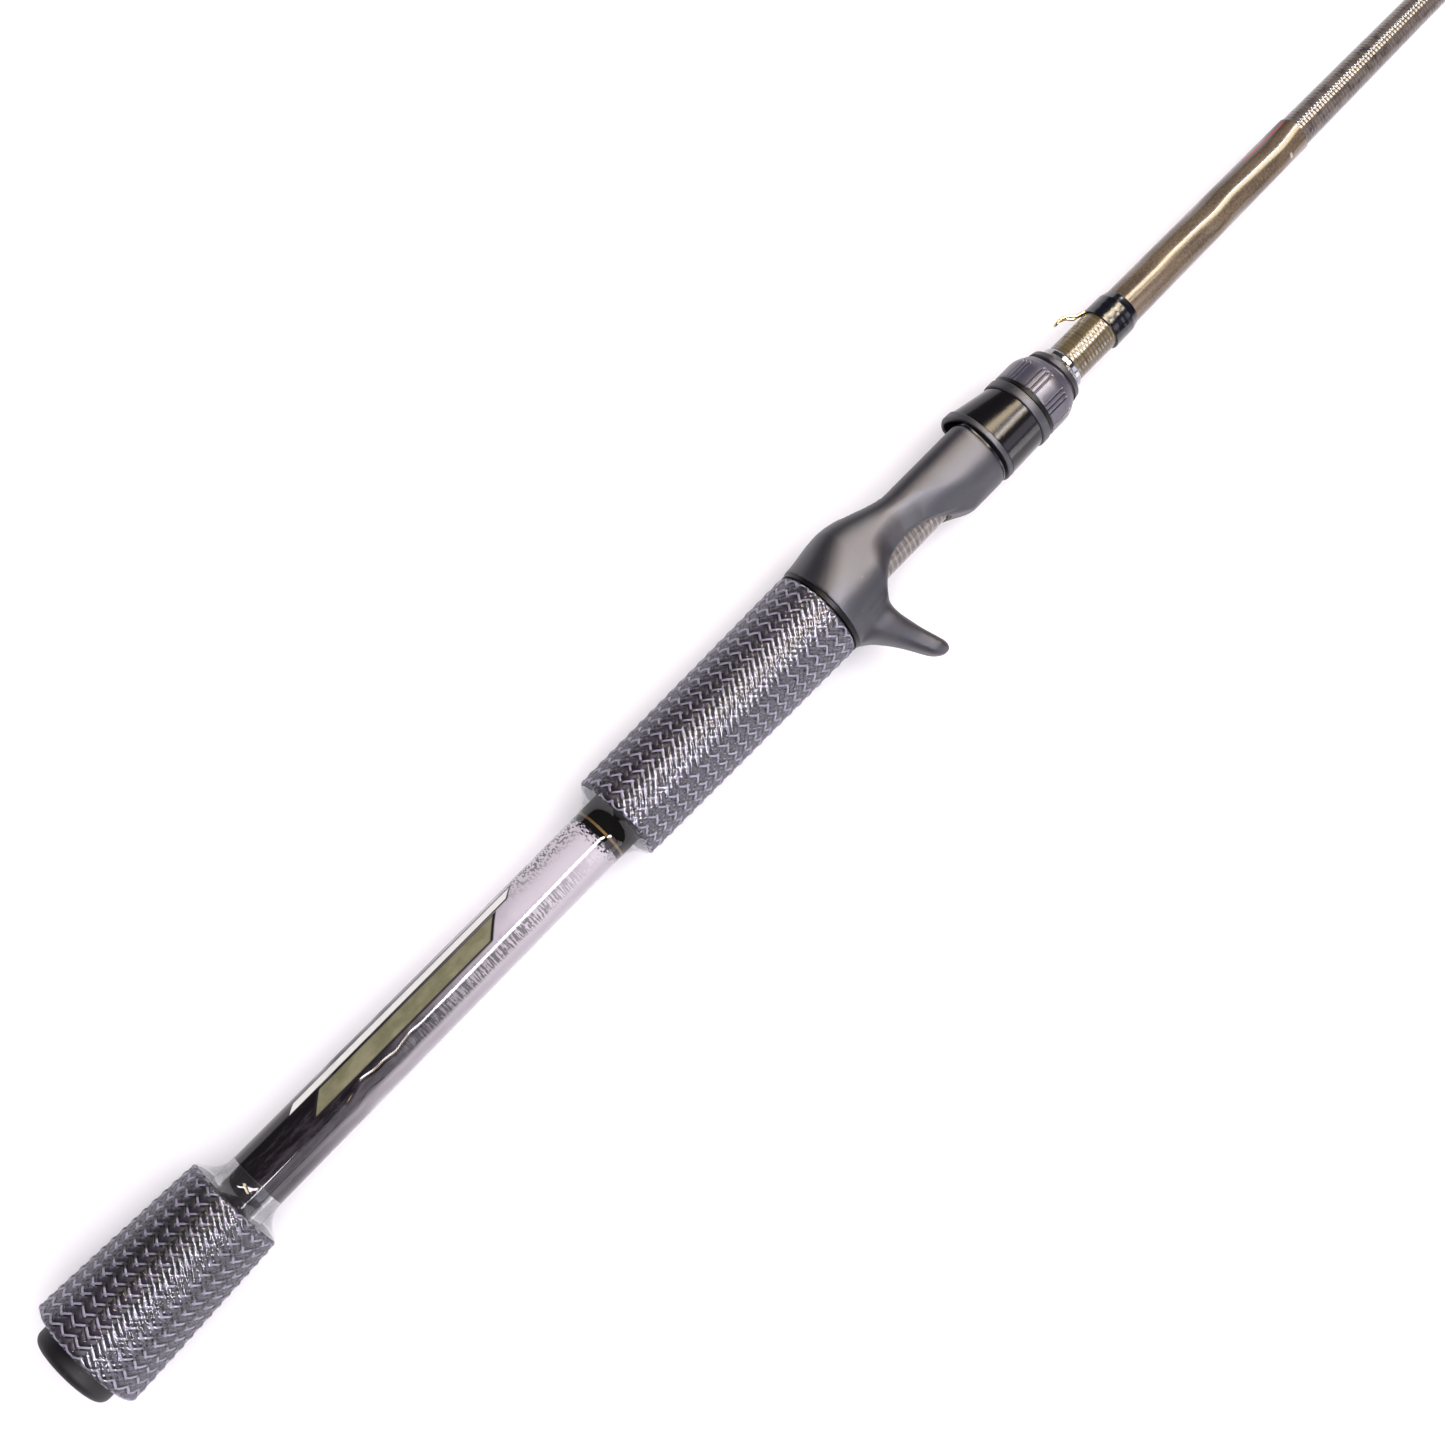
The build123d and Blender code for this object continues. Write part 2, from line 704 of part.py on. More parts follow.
with BuildPart() as nut_front_ring:
    ring_r = nut_nose_r - nut_ring_step
    revolve(turned([(x_nut_nose, ring_r), (x_nut_front - nut_ring_edge, ring_r - nut_ring_edge * 0.5),
                    (x_nut_front, ring_r - nut_ring_edge)],
                   [(x_nut_nose, nut_bore_r), (x_nut_front, nut_bore_r)]), axis=Axis.X)
save(nut_front_ring, "nut_front_ring")

with BuildPart() as barrel_end_ring:
    revolve(turned([(x_barrel_front, thread_crest_r), (x_fore_ramp, thread_crest_r - 0.3)],
                   blank_line(x_barrel_front, x_fore_ramp)), axis=Axis.X)
save(barrel_end_ring, "barrel_end_ring")

# ---- fore end ----------------------------------------------------------------------------

check_r = check_d / 2
with BuildPart() as fore_ramp:
    revolve(turned([(x_fore_ramp, thread_crest_r - 0.8), (x_check, check_r + 0.1)],
                   blank_line(x_fore_ramp, x_check)), axis=Axis.X)
save(fore_ramp, "fore_ramp")

with BuildPart() as winding_check:
    x_check_front = x_check + check_w
    revolve(turned([(x_check, check_r), (x_check + check_w * 0.6, check_r),
                    (x_check_front, keeper_wrap_d / 2 + 0.1)],
                   blank_line(x_check, x_check_front)), axis=Axis.X)
save(winding_check, "winding_check")

wrap_r = keeper_wrap_d / 2
with BuildPart() as keeper_wrap:
    revolve(turned([(x_check_front, wrap_r), (x_black_wrap, wrap_r)],
                   blank_line(x_check_front, x_black_wrap)), axis=Axis.X)
save(keeper_wrap, "keeper_wrap")

# hook keeper: one bent wire, two legs side by side, its feet under the black wrap
wire_r = keeper_wire_d / 2
foot_y = blank_r(x_black_wrap) + 2 * glue + wire_r
stand_y = wrap_r + wire_r + keeper_stand
half_spread = keeper_spread / 2
half_tip = keeper_tip_spread / 2
keeper_leg = [
    (x_black_wrap + keeper_foot_len, foot_y, half_spread),
    (x_black_wrap + keeper_bend, foot_y, half_spread),
    (x_black_wrap - keeper_bend, stand_y, half_spread),
    (x_black_wrap - keeper_lift, stand_y + keeper_stand, half_spread),
    (x_black_wrap - keeper_arch, keeper_arch_h, half_spread),
    (x_black_wrap - keeper_crown, keeper_crown_h, half_spread),
    (x_black_wrap - keeper_back, keeper_rise, half_tip),
]
other_leg = [(x, y, -z) for x, y, z in reversed(keeper_leg)]
with BuildPart() as hook_keeper:
    with BuildLine() as wire_path:
        FilletPolyline(*keeper_leg, *other_leg, radius=keeper_bend_r)
    with BuildSketch(Plane(origin=wire_path.line @ 0, z_dir=wire_path.line % 0)):
        Circle(wire_r)
    sweep(path=wire_path.line)
save(hook_keeper, "hook_keeper")

with BuildPart() as keeper_wrap_black:
    revolve(turned([(x_black_wrap, black_wrap_rear_d / 2),
                    (x_label - 2.5, black_wrap_rear_d / 2 - 0.1),
                    (x_label, black_wrap_front_d / 2)],
                   blank_line(x_black_wrap, x_label)), axis=Axis.X)
    add(hook_keeper.part, mode=Mode.SUBTRACT)
save(keeper_wrap_black, "keeper_wrap_black")

label_in = blank_line(x_label, x_label_front)
with BuildPart() as label_coat:
    revolve(turned([(x, r + label_t) for x, r in label_in], label_in), axis=Axis.X)
save(label_coat, "label_coat")

# ---- line guides -------------------------------------------------------------------------


def ring_disc(x_mid, height, outer_r, inner_r, width):
    """Washer across the rod, centred at a height above the axis."""
    with BuildPart() as disc:
        with BuildSketch(Plane.YZ.offset(x_mid - width / 2)):
            with Locations((height, 0)):
                Circle(outer_r)
                Circle(inner_r, mode=Mode.SUBTRACT)
        extrude(amount=width)
    return disc


def leg_profile(x_mid, low_y, foot_y0, reach, direction):
    """Side outline of one leg and its foot."""
    near = x_mid + direction * guide_hoop_w / 2
    knee = x_mid + direction * reach
    toe = knee + direction * guide_foot_len
    under = foot_y0 - guide_foot_h - 0.4
    with BuildSketch(Plane.XY.offset(-guide_leg_w / 2)) as leg:
        with BuildLine():
            Polyline(
                (x_mid - direction * guide_hoop_w / 2, low_y),
                (near, low_y + guide_leg_t),
                (knee, foot_y0),
                (toe, foot_y0),
                (toe, under),
                (knee - direction * guide_leg_t, under),
                (knee - direction * guide_leg_t, foot_y0 - guide_leg_t / 2),
                close=True,
            )
        make_face()
    return leg.sketch


for number, (from_tip, ring_d) in enumerate(guide_spots, start=1):
    x_mid = rod_length - from_tip
    hoop_r = ring_d / 2 + guide_hoop_t
    reach = ring_d * 0.9
    directions = [1, -1] if number <= double_foot_guides else [1]
    span = reach + guide_foot_len
    seat_r = blank_r(x_mid - span) + glue
    height = seat_r + guide_rise + ring_d / 2
    low_y = height - hoop_r
    with BuildPart() as guide_frame:
        with BuildSketch(Plane.YZ.offset(x_mid - guide_hoop_w / 2)):
            with Locations((height, 0)):
                Circle(hoop_r)
                Circle(ring_d / 2, mode=Mode.SUBTRACT)
        extrude(amount=guide_hoop_w)
        for direction in directions:
            extrude(leg_profile(x_mid, low_y, seat_r + guide_foot_h, reach, direction),
                    amount=guide_leg_w)
        with BuildSketch(Plane.YZ.offset(x_mid)):
            with Locations((height, 0)):
                Circle(ring_d / 2)
        extrude(amount=guide_hoop_w * 2, both=True, mode=Mode.SUBTRACT)
        with BuildSketch(Plane.YZ.offset(x_mid)):
            Circle(seat_r)
        extrude(amount=2 * span, both=True, mode=Mode.SUBTRACT)
    save(guide_frame, f"guide_{number}_frame")

    with BuildPart() as guide_ring:
        with BuildSketch(Plane.YZ.offset(x_mid - guide_ring_w / 2)):
            with Locations((height, 0)):
                Circle(ring_d / 2)
                Circle(ring_d / 2 - guide_ring_t, mode=Mode.SUBTRACT)
        extrude(amount=guide_ring_w)
        fillet(guide_ring.edges().filter_by(GeomType.CIRCLE), guide_ring_t * 0.3)
    save(guide_ring, f"guide_{number}_ring")

    with BuildPart() as guide_wrap:
        for direction in directions:
            ends = [x_mid + direction * (reach - 0.5),
                    x_mid + direction * (span + guide_wrap_over)]
            x0, x1 = sorted(ends)
            outer = [(x0, seat_r + guide_wrap_t * 0.6), (x0 + 1.5, seat_r + guide_wrap_t),
                     (x1 - 1.5, seat_r + guide_wrap_t), (x1, seat_r + guide_wrap_t * 0.6)]
            revolve(turned(outer, blank_line(x0, x1)), axis=Axis.X)
        add(guide_frame.part, mode=Mode.SUBTRACT)
    save(guide_wrap, f"guide_{number}_wrap")

# ---- tip top -----------------------------------------------------------------------------

tip_bore_r = blank_tip_d / 2 + glue
tip_tube_r = tip_bore_r + tip_tube_t
x_tube_front = x_tip_tube + tip_tube_len
x_tip_ring = rod_length - guide_ring_w / 2
tip_hoop_r = tip_ring_d / 2 + guide_hoop_t
tip_height = tip_tube_r + tip_hoop_r

with BuildPart() as tip_tube:
    revolve(turned([(x_tip_tube, tip_tube_r), (x_tube_front, tip_tube_r)],
                   blank_line(x_tip_tube, x_blank_front)
                   + [(x_blank_front, tip_bore_r * 0.5), (x_tube_front, tip_bore_r * 0.5)]),
            axis=Axis.X)
save(tip_tube, "tip_tube")

with BuildPart() as tip_frame:
    with BuildSketch(Plane.YZ.offset(x_tip_ring - guide_hoop_w / 2)):
        with Locations((tip_height, 0)):
            Circle(tip_hoop_r)
            Circle(tip_ring_d / 2, mode=Mode.SUBTRACT)
    extrude(amount=guide_hoop_w)
    with BuildSketch(Plane.XY.offset(-guide_leg_w / 2)):
        with BuildLine():
            Polyline(
                (x_tube_front - 4, tip_tube_r / 2),
                (x_tube_front - 4, tip_tube_r + guide_leg_t),
                (x_tip_ring + guide_hoop_w / 2, tip_height - tip_hoop_r + guide_hoop_t * 0.6),
                (x_tip_ring + guide_hoop_w / 2, tip_tube_r / 2),
                close=True,
            )
        make_face()
    extrude(amount=guide_leg_w)
    with BuildSketch(Plane.YZ.offset(x_tip_ring)):
        with Locations((tip_height, 0)):
            Circle(tip_ring_d / 2)
    extrude(amount=guide_hoop_w, both=True, mode=Mode.SUBTRACT)
    with BuildSketch(Plane.YZ.offset(x_tip_tube)):
        Circle(tip_tube_r)
    extrude(amount=tip_tube_len, mode=Mode.SUBTRACT)
save(tip_frame, "tip_frame")

with BuildPart() as tip_ring:
    with BuildSketch(Plane.YZ.offset(x_tip_ring - guide_ring_w / 2)):
        with Locations((tip_height, 0)):
            Circle(tip_ring_d / 2)
            Circle(tip_ring_d / 2 - guide_ring_t, mode=Mode.SUBTRACT)
    extrude(amount=guide_ring_w)
    fillet(tip_ring.edges().filter_by(GeomType.CIRCLE), guide_ring_t * 0.3)
save(tip_ring, "tip_ring")

with BuildPart() as tip_wrap:
    x_wrap = x_tip_tube - tip_wrap_len
    wrap_in = blank_line(x_wrap, x_tip_tube)
    revolve(turned([(x, r + tip_wrap_t) for x, r in wrap_in], wrap_in), axis=Axis.X)
save(tip_wrap, "tip_wrap")
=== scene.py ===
import json
import math

import bmesh
import bpy
from mathutils import Matrix, Vector


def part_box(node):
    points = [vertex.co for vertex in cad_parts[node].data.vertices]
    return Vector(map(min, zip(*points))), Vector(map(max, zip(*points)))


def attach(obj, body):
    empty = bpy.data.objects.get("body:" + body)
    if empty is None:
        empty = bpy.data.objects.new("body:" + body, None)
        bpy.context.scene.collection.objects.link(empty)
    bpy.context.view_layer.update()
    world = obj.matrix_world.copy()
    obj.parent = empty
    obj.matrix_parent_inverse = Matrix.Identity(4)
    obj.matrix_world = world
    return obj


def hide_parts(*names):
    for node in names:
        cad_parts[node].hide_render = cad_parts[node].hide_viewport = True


# A baitcasting rod's finish, in metres, in the frame of its construction: X from the butt to
# the tip, +Y the side of the reel and the guides, -Y the side of the trigger, +Z up.

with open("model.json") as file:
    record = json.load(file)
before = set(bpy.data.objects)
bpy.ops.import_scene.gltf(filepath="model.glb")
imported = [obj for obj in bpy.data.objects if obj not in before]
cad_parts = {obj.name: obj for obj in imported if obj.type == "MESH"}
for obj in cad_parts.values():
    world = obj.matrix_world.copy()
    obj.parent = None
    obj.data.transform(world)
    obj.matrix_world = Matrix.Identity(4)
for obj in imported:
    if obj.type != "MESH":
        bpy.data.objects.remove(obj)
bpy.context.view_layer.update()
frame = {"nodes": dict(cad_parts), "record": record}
MM = 0.001


def span(node):
    """Where a part starts and ends along the rod, and its largest radius."""
    low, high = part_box(node)
    return low.x, high.x, max(high.y, high.z, -low.y, -low.z)


# ---- camera, floor and lights ------------------------------------------------------------

LEAN = math.radians(12.5)
ROLL = math.radians(0.355)
CAMERA = Vector((0.1028, -0.0022, 0.569))
FLOOR = -span("rear_grip_sleeve")[2]

along = Vector((math.cos(LEAN), 0, math.sin(LEAN)))
across = Vector((0, 1, 0))
right = (along - across).normalized()
up = (along + across).normalized()
back = right.cross(up)
right, up = right * math.cos(ROLL) - up * math.sin(ROLL), up * math.cos(ROLL) + right * math.sin(ROLL)


def facing(position, x_axis, y_axis, z_axis):
    """A matrix that stands an object at a position on three axes."""
    rows = Matrix((x_axis, y_axis, z_axis)).transposed().to_4x4()
    rows.translation = position
    return rows


lens = bpy.data.cameras.new("studio_camera")
lens.sensor_width = 36
lens.lens = 54.81
lens.clip_start = 0.01
camera = bpy.data.objects.new("studio_camera", lens)
camera.matrix_world = facing(CAMERA, right, up, back)
bpy.context.scene.collection.objects.link(camera)
bpy.context.scene.camera = camera
bpy.context.scene.view_settings.view_transform = "Standard"

world = bpy.data.worlds.new("studio")
world.use_nodes = True
world.node_tree.nodes["Background"].inputs["Color"].default_value = (0.93, 0.95, 1, 1)
world.node_tree.nodes["Background"].inputs["Strength"].default_value = 0.12
bpy.context.scene.world = world


def soft_box(name, centre, towards, length, width, radiance, colour=(1, 1, 1), mirrored=True,
             lit=True, length_axis=Vector((1, 0, 0))):
    """A rectangular light which shines from centre towards a point. Unlit, it is only seen mirrored."""
    z_axis = (Vector(centre) - Vector(towards)).normalized()
    x_axis = (length_axis - z_axis * z_axis.dot(length_axis)).normalized()
    light = bpy.data.lights.new(name, "AREA")
    light.shape = "RECTANGLE"
    light.size, light.size_y = length, width
    light.energy = radiance * math.pi * length * width
    light.color = colour
    lamp = bpy.data.objects.new(name, light)
    lamp.matrix_world = facing(Vector(centre), x_axis, z_axis.cross(x_axis), z_axis)
    lamp.visible_glossy = mirrored
    lamp.visible_transmission = mirrored
    lamp.visible_diffuse = lit
    bpy.context.scene.collection.objects.link(lamp)


# the overhead tube: its height, a point that its line passes, and how that line crosses the rod
TUBE_HEIGHT = 1.3
TUBE_X, TUBE_Y = 0.159, -0.47
TUBE_SLOPE = 0.71
TUBE_AXIS = Vector((0.815, 0.58, 0))


def strip(name, first, last, width, radiance, colour, aside=0.0):
    """Part of the overhead tube from first to last along the rod, moved aside towards -Y. It only mirrors."""
    middle = (first + last) / 2
    centre = (middle, TUBE_Y + TUBE_SLOPE * (middle - TUBE_X) - aside, TUBE_HEIGHT)
    seen_at = (middle * CAMERA.z + CAMERA.x * TUBE_HEIGHT) / (CAMERA.z + TUBE_HEIGHT)
    soft_box(name, centre, (seen_at, 0, 0), (last - first) / TUBE_AXIS.x, width, radiance, colour,
             lit=False, length_axis=TUBE_AXIS)


# each light's centre, a point it faces, its length and width in metres, its radiance and its colour
soft_box("fill_box", (0.4, 0, 2.0), (0.4, 0, 0), 4.4, 3.2, 2.5, (0.99, 0.955, 1), mirrored=False)
soft_box("key_box", (0.25, -1.07, 0.9), (0.25, 0, 0), 1.8, 1.0, 1.55, (0.98, 0.93, 1), mirrored=False)
soft_box("wide_box", (0.1, -1.15, 1.0), (0.1, 0, 0), 1.3, 0.9, 1.7, (0.94, 0.9, 1), lit=False)
soft_box("wide_box_front", (0.98, -1.15, 1.0), (0.5, 0, 0), 0.45, 0.7, 2.2, (0.9, 0.87, 1), lit=False)
soft_box("side_box", (0.2, -1.25, 0.22), (0.2, 0, 0.05), 1.46, 0.5, 2.4, lit=False)
soft_box("side_box_front", (0.873, -1.2, 0.22), (0.873, 0, 0.05), 0.154, 0.5, 5.0, (0.95, 0.93, 1),
         lit=False)
strip("tube_rear", -0.45, -0.065, 0.24, 34, (0.97, 0.95, 1))
strip("tube_warm_end", 0.084, 0.145, 0.05, 15, (1, 0.78, 0.4))
strip("tube_white", 0.155, 0.64, 0.2, 32, (0.96, 0.94, 1))
strip("tube_middle", 0.62, 0.87, 0.42, 27, (0.92, 0.9, 1))
strip("tube_warm", 0.87, 1.04, 0.26, 17, (1, 0.84, 0.58), aside=0.32)
strip("tube_gold", 1.04, 1.305, 1.2, 18, (1, 0.82, 0.56))
strip("tube_front", 1.315, 2.2, 0.16, 38, (0.96, 0.95, 1))


# ---- finishes ----------------------------------------------------------------------------


class Term:
    """A value, colour or vector inside a node tree, which takes part in Python sums."""

    def __init__(self, tree, socket):
        self.tree, self.socket = tree, socket

    def math(self, operation, *others):
        return self.tree.node("ShaderNodeMath", {"operation": operation}, [self, *others])

    def under(self, operation, other):
        return self.tree.node("ShaderNodeMath", {"operation": operation}, [other, self])

    def __add__(self, other): return self.math("ADD", other)
    def __radd__(self, other): return self.under("ADD", other)
    def __sub__(self, other): return self.math("SUBTRACT", other)
    def __rsub__(self, other): return self.under("SUBTRACT", other)
    def __mul__(self, other): return self.math("MULTIPLY", other)
    def __rmul__(self, other): return self.under("MULTIPLY", other)
    def __truediv__(self, other): return self.math("DIVIDE", other)
    def __mod__(self, other): return self.math("FLOORED_MODULO", other)
    def __pow__(self, other): return self.math("POWER", other)
    def __gt__(self, other): return self.math("GREATER_THAN", other)
    def __lt__(self, other): return self.math("LESS_THAN", other)
    def __neg__(self): return self.math("MULTIPLY", -1.0)


class Tree:
    """A node tree that is built by calls."""

    def __init__(self, tree):
        self.tree = tree
        tree.nodes.clear()

    def node(self, kind, settings=None, inputs=None, output=0):
        """Adds a node: its settings first, then the values and links of its sockets."""
        made = self.tree.nodes.new(kind)
        for key, value in (settings or {}).items():
            if key == "stops":
                while len(made.color_ramp.elements) < len(value):
                    made.color_ramp.elements.new(1.0)
                for element, (place, colour) in zip(made.color_ramp.elements, value):
                    element.position, element.color = place, (*colour, 1)
            else:
                setattr(made, key, value)
        pairs = inputs.items() if isinstance(inputs, dict) else enumerate(inputs or [])
        for key, value in pairs:
            if isinstance(value, Term):
                self.tree.links.new(value.socket, made.inputs[key])
            elif value is not None:
                made.inputs[key].default_value = value
        made_term = Term(self, made.outputs[output] if len(made.outputs) else None)
        made_term.made = made
        return made_term

    def joined(self, x, y, z):
        return self.node("ShaderNodeCombineXYZ", None, [x, y, z])

    def parts(self, vector):
        """A vector's x, y and z."""
        made = self.node("ShaderNodeSeparateXYZ", None, [vector]).made
        return [Term(self, socket) for socket in made.outputs]


class Finish(Tree):
    """A material of the rod, built on one shader whose steady values sit on its own sockets."""

    def __init__(self, name, **steady):
        self.material = bpy.data.materials.new(name)
        self.material.use_nodes = True
        super().__init__(self.material.node_tree)
        self.shader = self.node("ShaderNodeBsdfPrincipled").made
        self.surface = Term(self, self.shader.outputs[0])
        self.end = self.node("ShaderNodeOutputMaterial", None, {"Surface": self.surface}).made
        for key, value in steady.items():
            self.set(key, value)

    def set(self, key, value):
        """Sets or links a socket of the shader, named as in Base_Color."""
        socket = self.shader.inputs[key.replace("_", " ")]
        if isinstance(value, Term):
            self.tree.links.new(value.socket, socket)
        else:
            socket.default_value = (*value, 1) if isinstance(value, tuple) and len(value) == 3 else value

    def point(self):
        """The place on the rod, in millimetres."""
        place = self.node("ShaderNodeTexCoord", output="Object")
        return self.node("ShaderNodeVectorMath", {"operation": "SCALE"}, {0: place, 3: 1 / MM})

    def around(self):
        """Along the rod in mm, the turn from +Z towards +Y in degrees, and the radius in mm."""
        x, y, z = self.parts(self.point())
        return x, y.math("ARCTAN2", z) * math.degrees(1), (y * y + z * z).math("SQRT")

    def noise(self, scale, detail=2.0, rough=0.5):
        """Soft noise; the scale counts waves in a millimetre."""
        return self.node("ShaderNodeTexNoise", None,
                         {"Vector": self.point(), "Scale": scale, "Detail": detail, "Roughness": rough})

    def drawn_noise(self, detail, rough, x, y, z):
        """Soft noise with its own coordinates, so that it can be drawn out one way."""
        return self.node("ShaderNodeTexNoise", None,
                         {"Vector": self.joined(x, y, z), "Scale": 1.0, "Detail": detail, "Roughness": rough})

    def mix(self, factor, a, b):
        """Two colours mixed."""
        a, b = [(*c, 1) if isinstance(c, tuple) else c for c in (a, b)]
        return self.node("ShaderNodeMix", {"data_type": "RGBA"}, {0: factor, 6: a, 7: b}, 2)

    def mottle(self, scale, dark, light):
        """A base colour that drifts softly between two tones."""
        self.set("Base_Color", self.mix(self.noise(scale), dark, light))

    def ramp(self, value, *stops):
        return self.node("ShaderNodeValToRGB", {"stops": stops}, [value])

    def step(self, value, low, high):
        """0 under low, 1 over high, smooth between."""
        return self.node("ShaderNodeMapRange", {"interpolation_type": "SMOOTHSTEP"},
                         {0: value, 1: low, 2: high, 3: 0.0, 4: 1.0})

    def fall(self, value, low, high):
        """1 under low, 0 over high, smooth between."""
        return 1.0 - self.step(value, low, high)

    def between(self, value, low, high, soft):
        """1 from low to high with soft edges, 0 outside."""
        return self.step(value, low - soft, low + soft) * self.fall(value, high - soft, high + soft)

    def bump(self, height, depth, strength=1.0):
        """A bump whose full height is depth millimetres."""
        self.set("Normal", self.node("ShaderNodeBump", None,
                 {"Height": height, "Distance": depth * MM, "Strength": strength}))


def dress(material, *names):
    """Gives parts of the construction their finish."""
    for name in names:
        mesh = frame["nodes"][name].data
        mesh.materials.clear()
        mesh.materials.append(material)
        for polygon in mesh.polygons:
            polygon.material_index = 0


finishes = {}


def finish(slot, **steady):
    finishes[slot] = Finish(slot, **steady)
    return finishes[slot]


def shaded(colour, share):
    """A colour made darker or lighter."""
    return tuple(min(1.0, c * share) for c in colour)


def speckled(slot, colour, rough, grain, **steady):
    """A moulded or coated surface: fine grain, a slight change of tone and a few pale specks."""
    made = finish(slot, **steady)
    tone = made.noise(0.09) - 0.5
    fine = made.noise(6.0, 2.0, 0.6)
    specks = made.step(made.noise(1.1, 1.0, 0.3), 0.76, 0.8)
    base = made.mix(made.step(tone, -0.3, 0.3), shaded(colour, 0.86), shaded(colour, 1.14))
    made.set("Base_Color", made.mix(specks * 0.35, base, tuple(c * 4 + 0.04 for c in colour)))
    made.set("Roughness", rough + tone * 0.12 + (fine - 0.5) * 0.08)
    made.bump(fine, grain)


EPOXY_IOR = 1.55


def wound(slot, dark, light, thread, band, depth):
    """Thread of some thickness wound round the blank under epoxy, which still shows bands of the turns."""
    made = finish(slot, IOR=EPOXY_IOR)
    x, angle, _ = made.around()
    ridge = ((x / thread + angle / 360.0) % 1.0 * math.pi).math("SINE")
    uneven = made.drawn_noise(2.0, 0.5, x / band, angle * 0.006, 0.0)
    wave = ((x / band + uneven * 0.8) * math.tau).math("SINE") * 0.5 + 0.5
    sag = made.drawn_noise(1.0, 0.4, x * 0.09, angle * 0.02, 3.0)
    tone = ridge * 0.3 + wave * 0.3 + made.step(uneven, 0.3, 0.7) * 0.4
    made.set("Base_Color", made.mix(tone, dark, light))
    made.set("Roughness", 0.1 + uneven * 0.14)
    sag_depth = 0.4
    made.bump(wave * (depth / sag_depth) + sag, sag_depth)


speckled("soft_black", (0.004, 0.003, 0.004), rough=0.55, grain=0.03, Specular_IOR_Level=0.35)
speckled("grip_foam", (0.008, 0.008, 0.009), rough=0.85, grain=0.1)
speckled("seat_nylon", (0.009, 0.0078, 0.0115), rough=0.44, grain=0.02, Specular_IOR_Level=0.68,
         Specular_Tint=(0.93, 0.93, 1.0))
speckled("nut_nylon", (0.036, 0.031, 0.047), rough=0.36, grain=0.02, Specular_IOR_Level=0.9,
         Specular_Tint=(0.93, 0.92, 1.0))
speckled("arbor_foam", (0.12, 0.1, 0.06), rough=0.85, grain=0.1)
gloss = finish("gloss_black", Roughness=0.12, Coat_Weight=1.0, Coat_Roughness=0.03)
gloss.mottle(0.2, (0.003, 0.003, 0.003), (0.008, 0.008, 0.009))
gloss.bump(gloss.noise(0.12), 0.02)
sunk_black = finish("sunk_black", Specular_IOR_Level=0.0)
sunk_black.mottle(0.2, (0.003, 0.0025, 0.002), (0.008, 0.007, 0.006))
sunk_black.set("Roughness", 0.6 + sunk_black.noise(1.5) * 0.15)
satin = finish("satin_black", Base_Color=(0.0045, 0.0035, 0.0045), Specular_IOR_Level=0.3)
satin.set("Roughness", 0.14 + satin.noise(0.3) * 0.04)
satin.bump(satin.noise(5.0), 0.008)
trim = finish("trim_black", Specular_IOR_Level=0.14)
trim.mottle(0.3, (0.001, 0.001, 0.001), (0.004, 0.004, 0.004))
trim.set("Roughness", 0.3 + trim.noise(0.8) * 0.1)
finish("braided_sleeve", Base_Color=(0.02, 0.017, 0.016), Roughness=0.2)

resin = finish("clear_resin", Base_Color=(0.97, 0.985, 0.98), Transmission_Weight=1.0, IOR=1.5)
resin.set("Roughness", 0.015 + resin.noise(0.4) * 0.02)
resin.bump(resin.noise(0.1), 0.04)


def clear_skin(name, tint, most, rough):
    """Clear resin over something else: it only mirrors, more so at a slant, and tints what lies under it."""
    made = finish(name, Base_Color=(1.0, 1.0, 1.0), Metallic=1.0)
    made.set("Roughness", rough + made.noise(0.5) * rough)
    under = made.node("ShaderNodeBsdfTransparent", None, {"Color": (*tint, 1)})
    mirror = made.node("ShaderNodeFresnel", None, {"IOR": 1.5}).math("MINIMUM", most)
    both = made.node("ShaderNodeMixShader", None, {0: mirror, 1: under, 2: made.surface})
    made.tree.links.new(both.socket, made.end.inputs["Surface"])
    return made


clear_skin("ramp_resin", (0.86, 0.86, 0.88), most=0.5, rough=0.02)

gold = finish("gold_thread", Metallic=0.2, Roughness=0.6, Specular_IOR_Level=0.1)
gold.mottle(1.5, (0.13, 0.08, 0.025), (0.27, 0.17, 0.06))
gold.bump(gold.noise(4.0), 0.05)

wound("olive_thread", (0.05, 0.036, 0.018), (0.15, 0.112, 0.055), thread=0.3, band=1.2, depth=0.035)
wound("black_thread", (0.0012, 0.0012, 0.003), (0.003, 0.003, 0.009), thread=0.25, band=2.5, depth=0.02)


def worked_metal(slot, colour, rough):
    """Turned or drawn metal with fine lines round it."""
    made = finish(slot, Metallic=1.0)
    x, angle, radius = made.around()
    lines = made.drawn_noise(3.0, 0.6, x * 6.0, angle * 0.01, radius * 6.0)
    made.set("Base_Color", made.mix(lines, shaded(colour, 0.8), shaded(colour, 1.2)))
    made.set("Roughness", rough + (lines - 0.5) * 0.15)
    made.bump(lines, 0.01)


worked_metal("gunmetal", (0.3, 0.3, 0.33), rough=0.1)
worked_metal("keeper_wire", (0.62, 0.45, 0.2), rough=0.14)
worked_metal("guide_steel", (0.16, 0.16, 0.17), rough=0.22)
ceramic = finish("guide_ceramic", Coat_Weight=1.0, Coat_Roughness=0.03, Roughness=0.15)
ceramic.mottle(0.8, (0.012, 0.013, 0.016), (0.03, 0.032, 0.04))

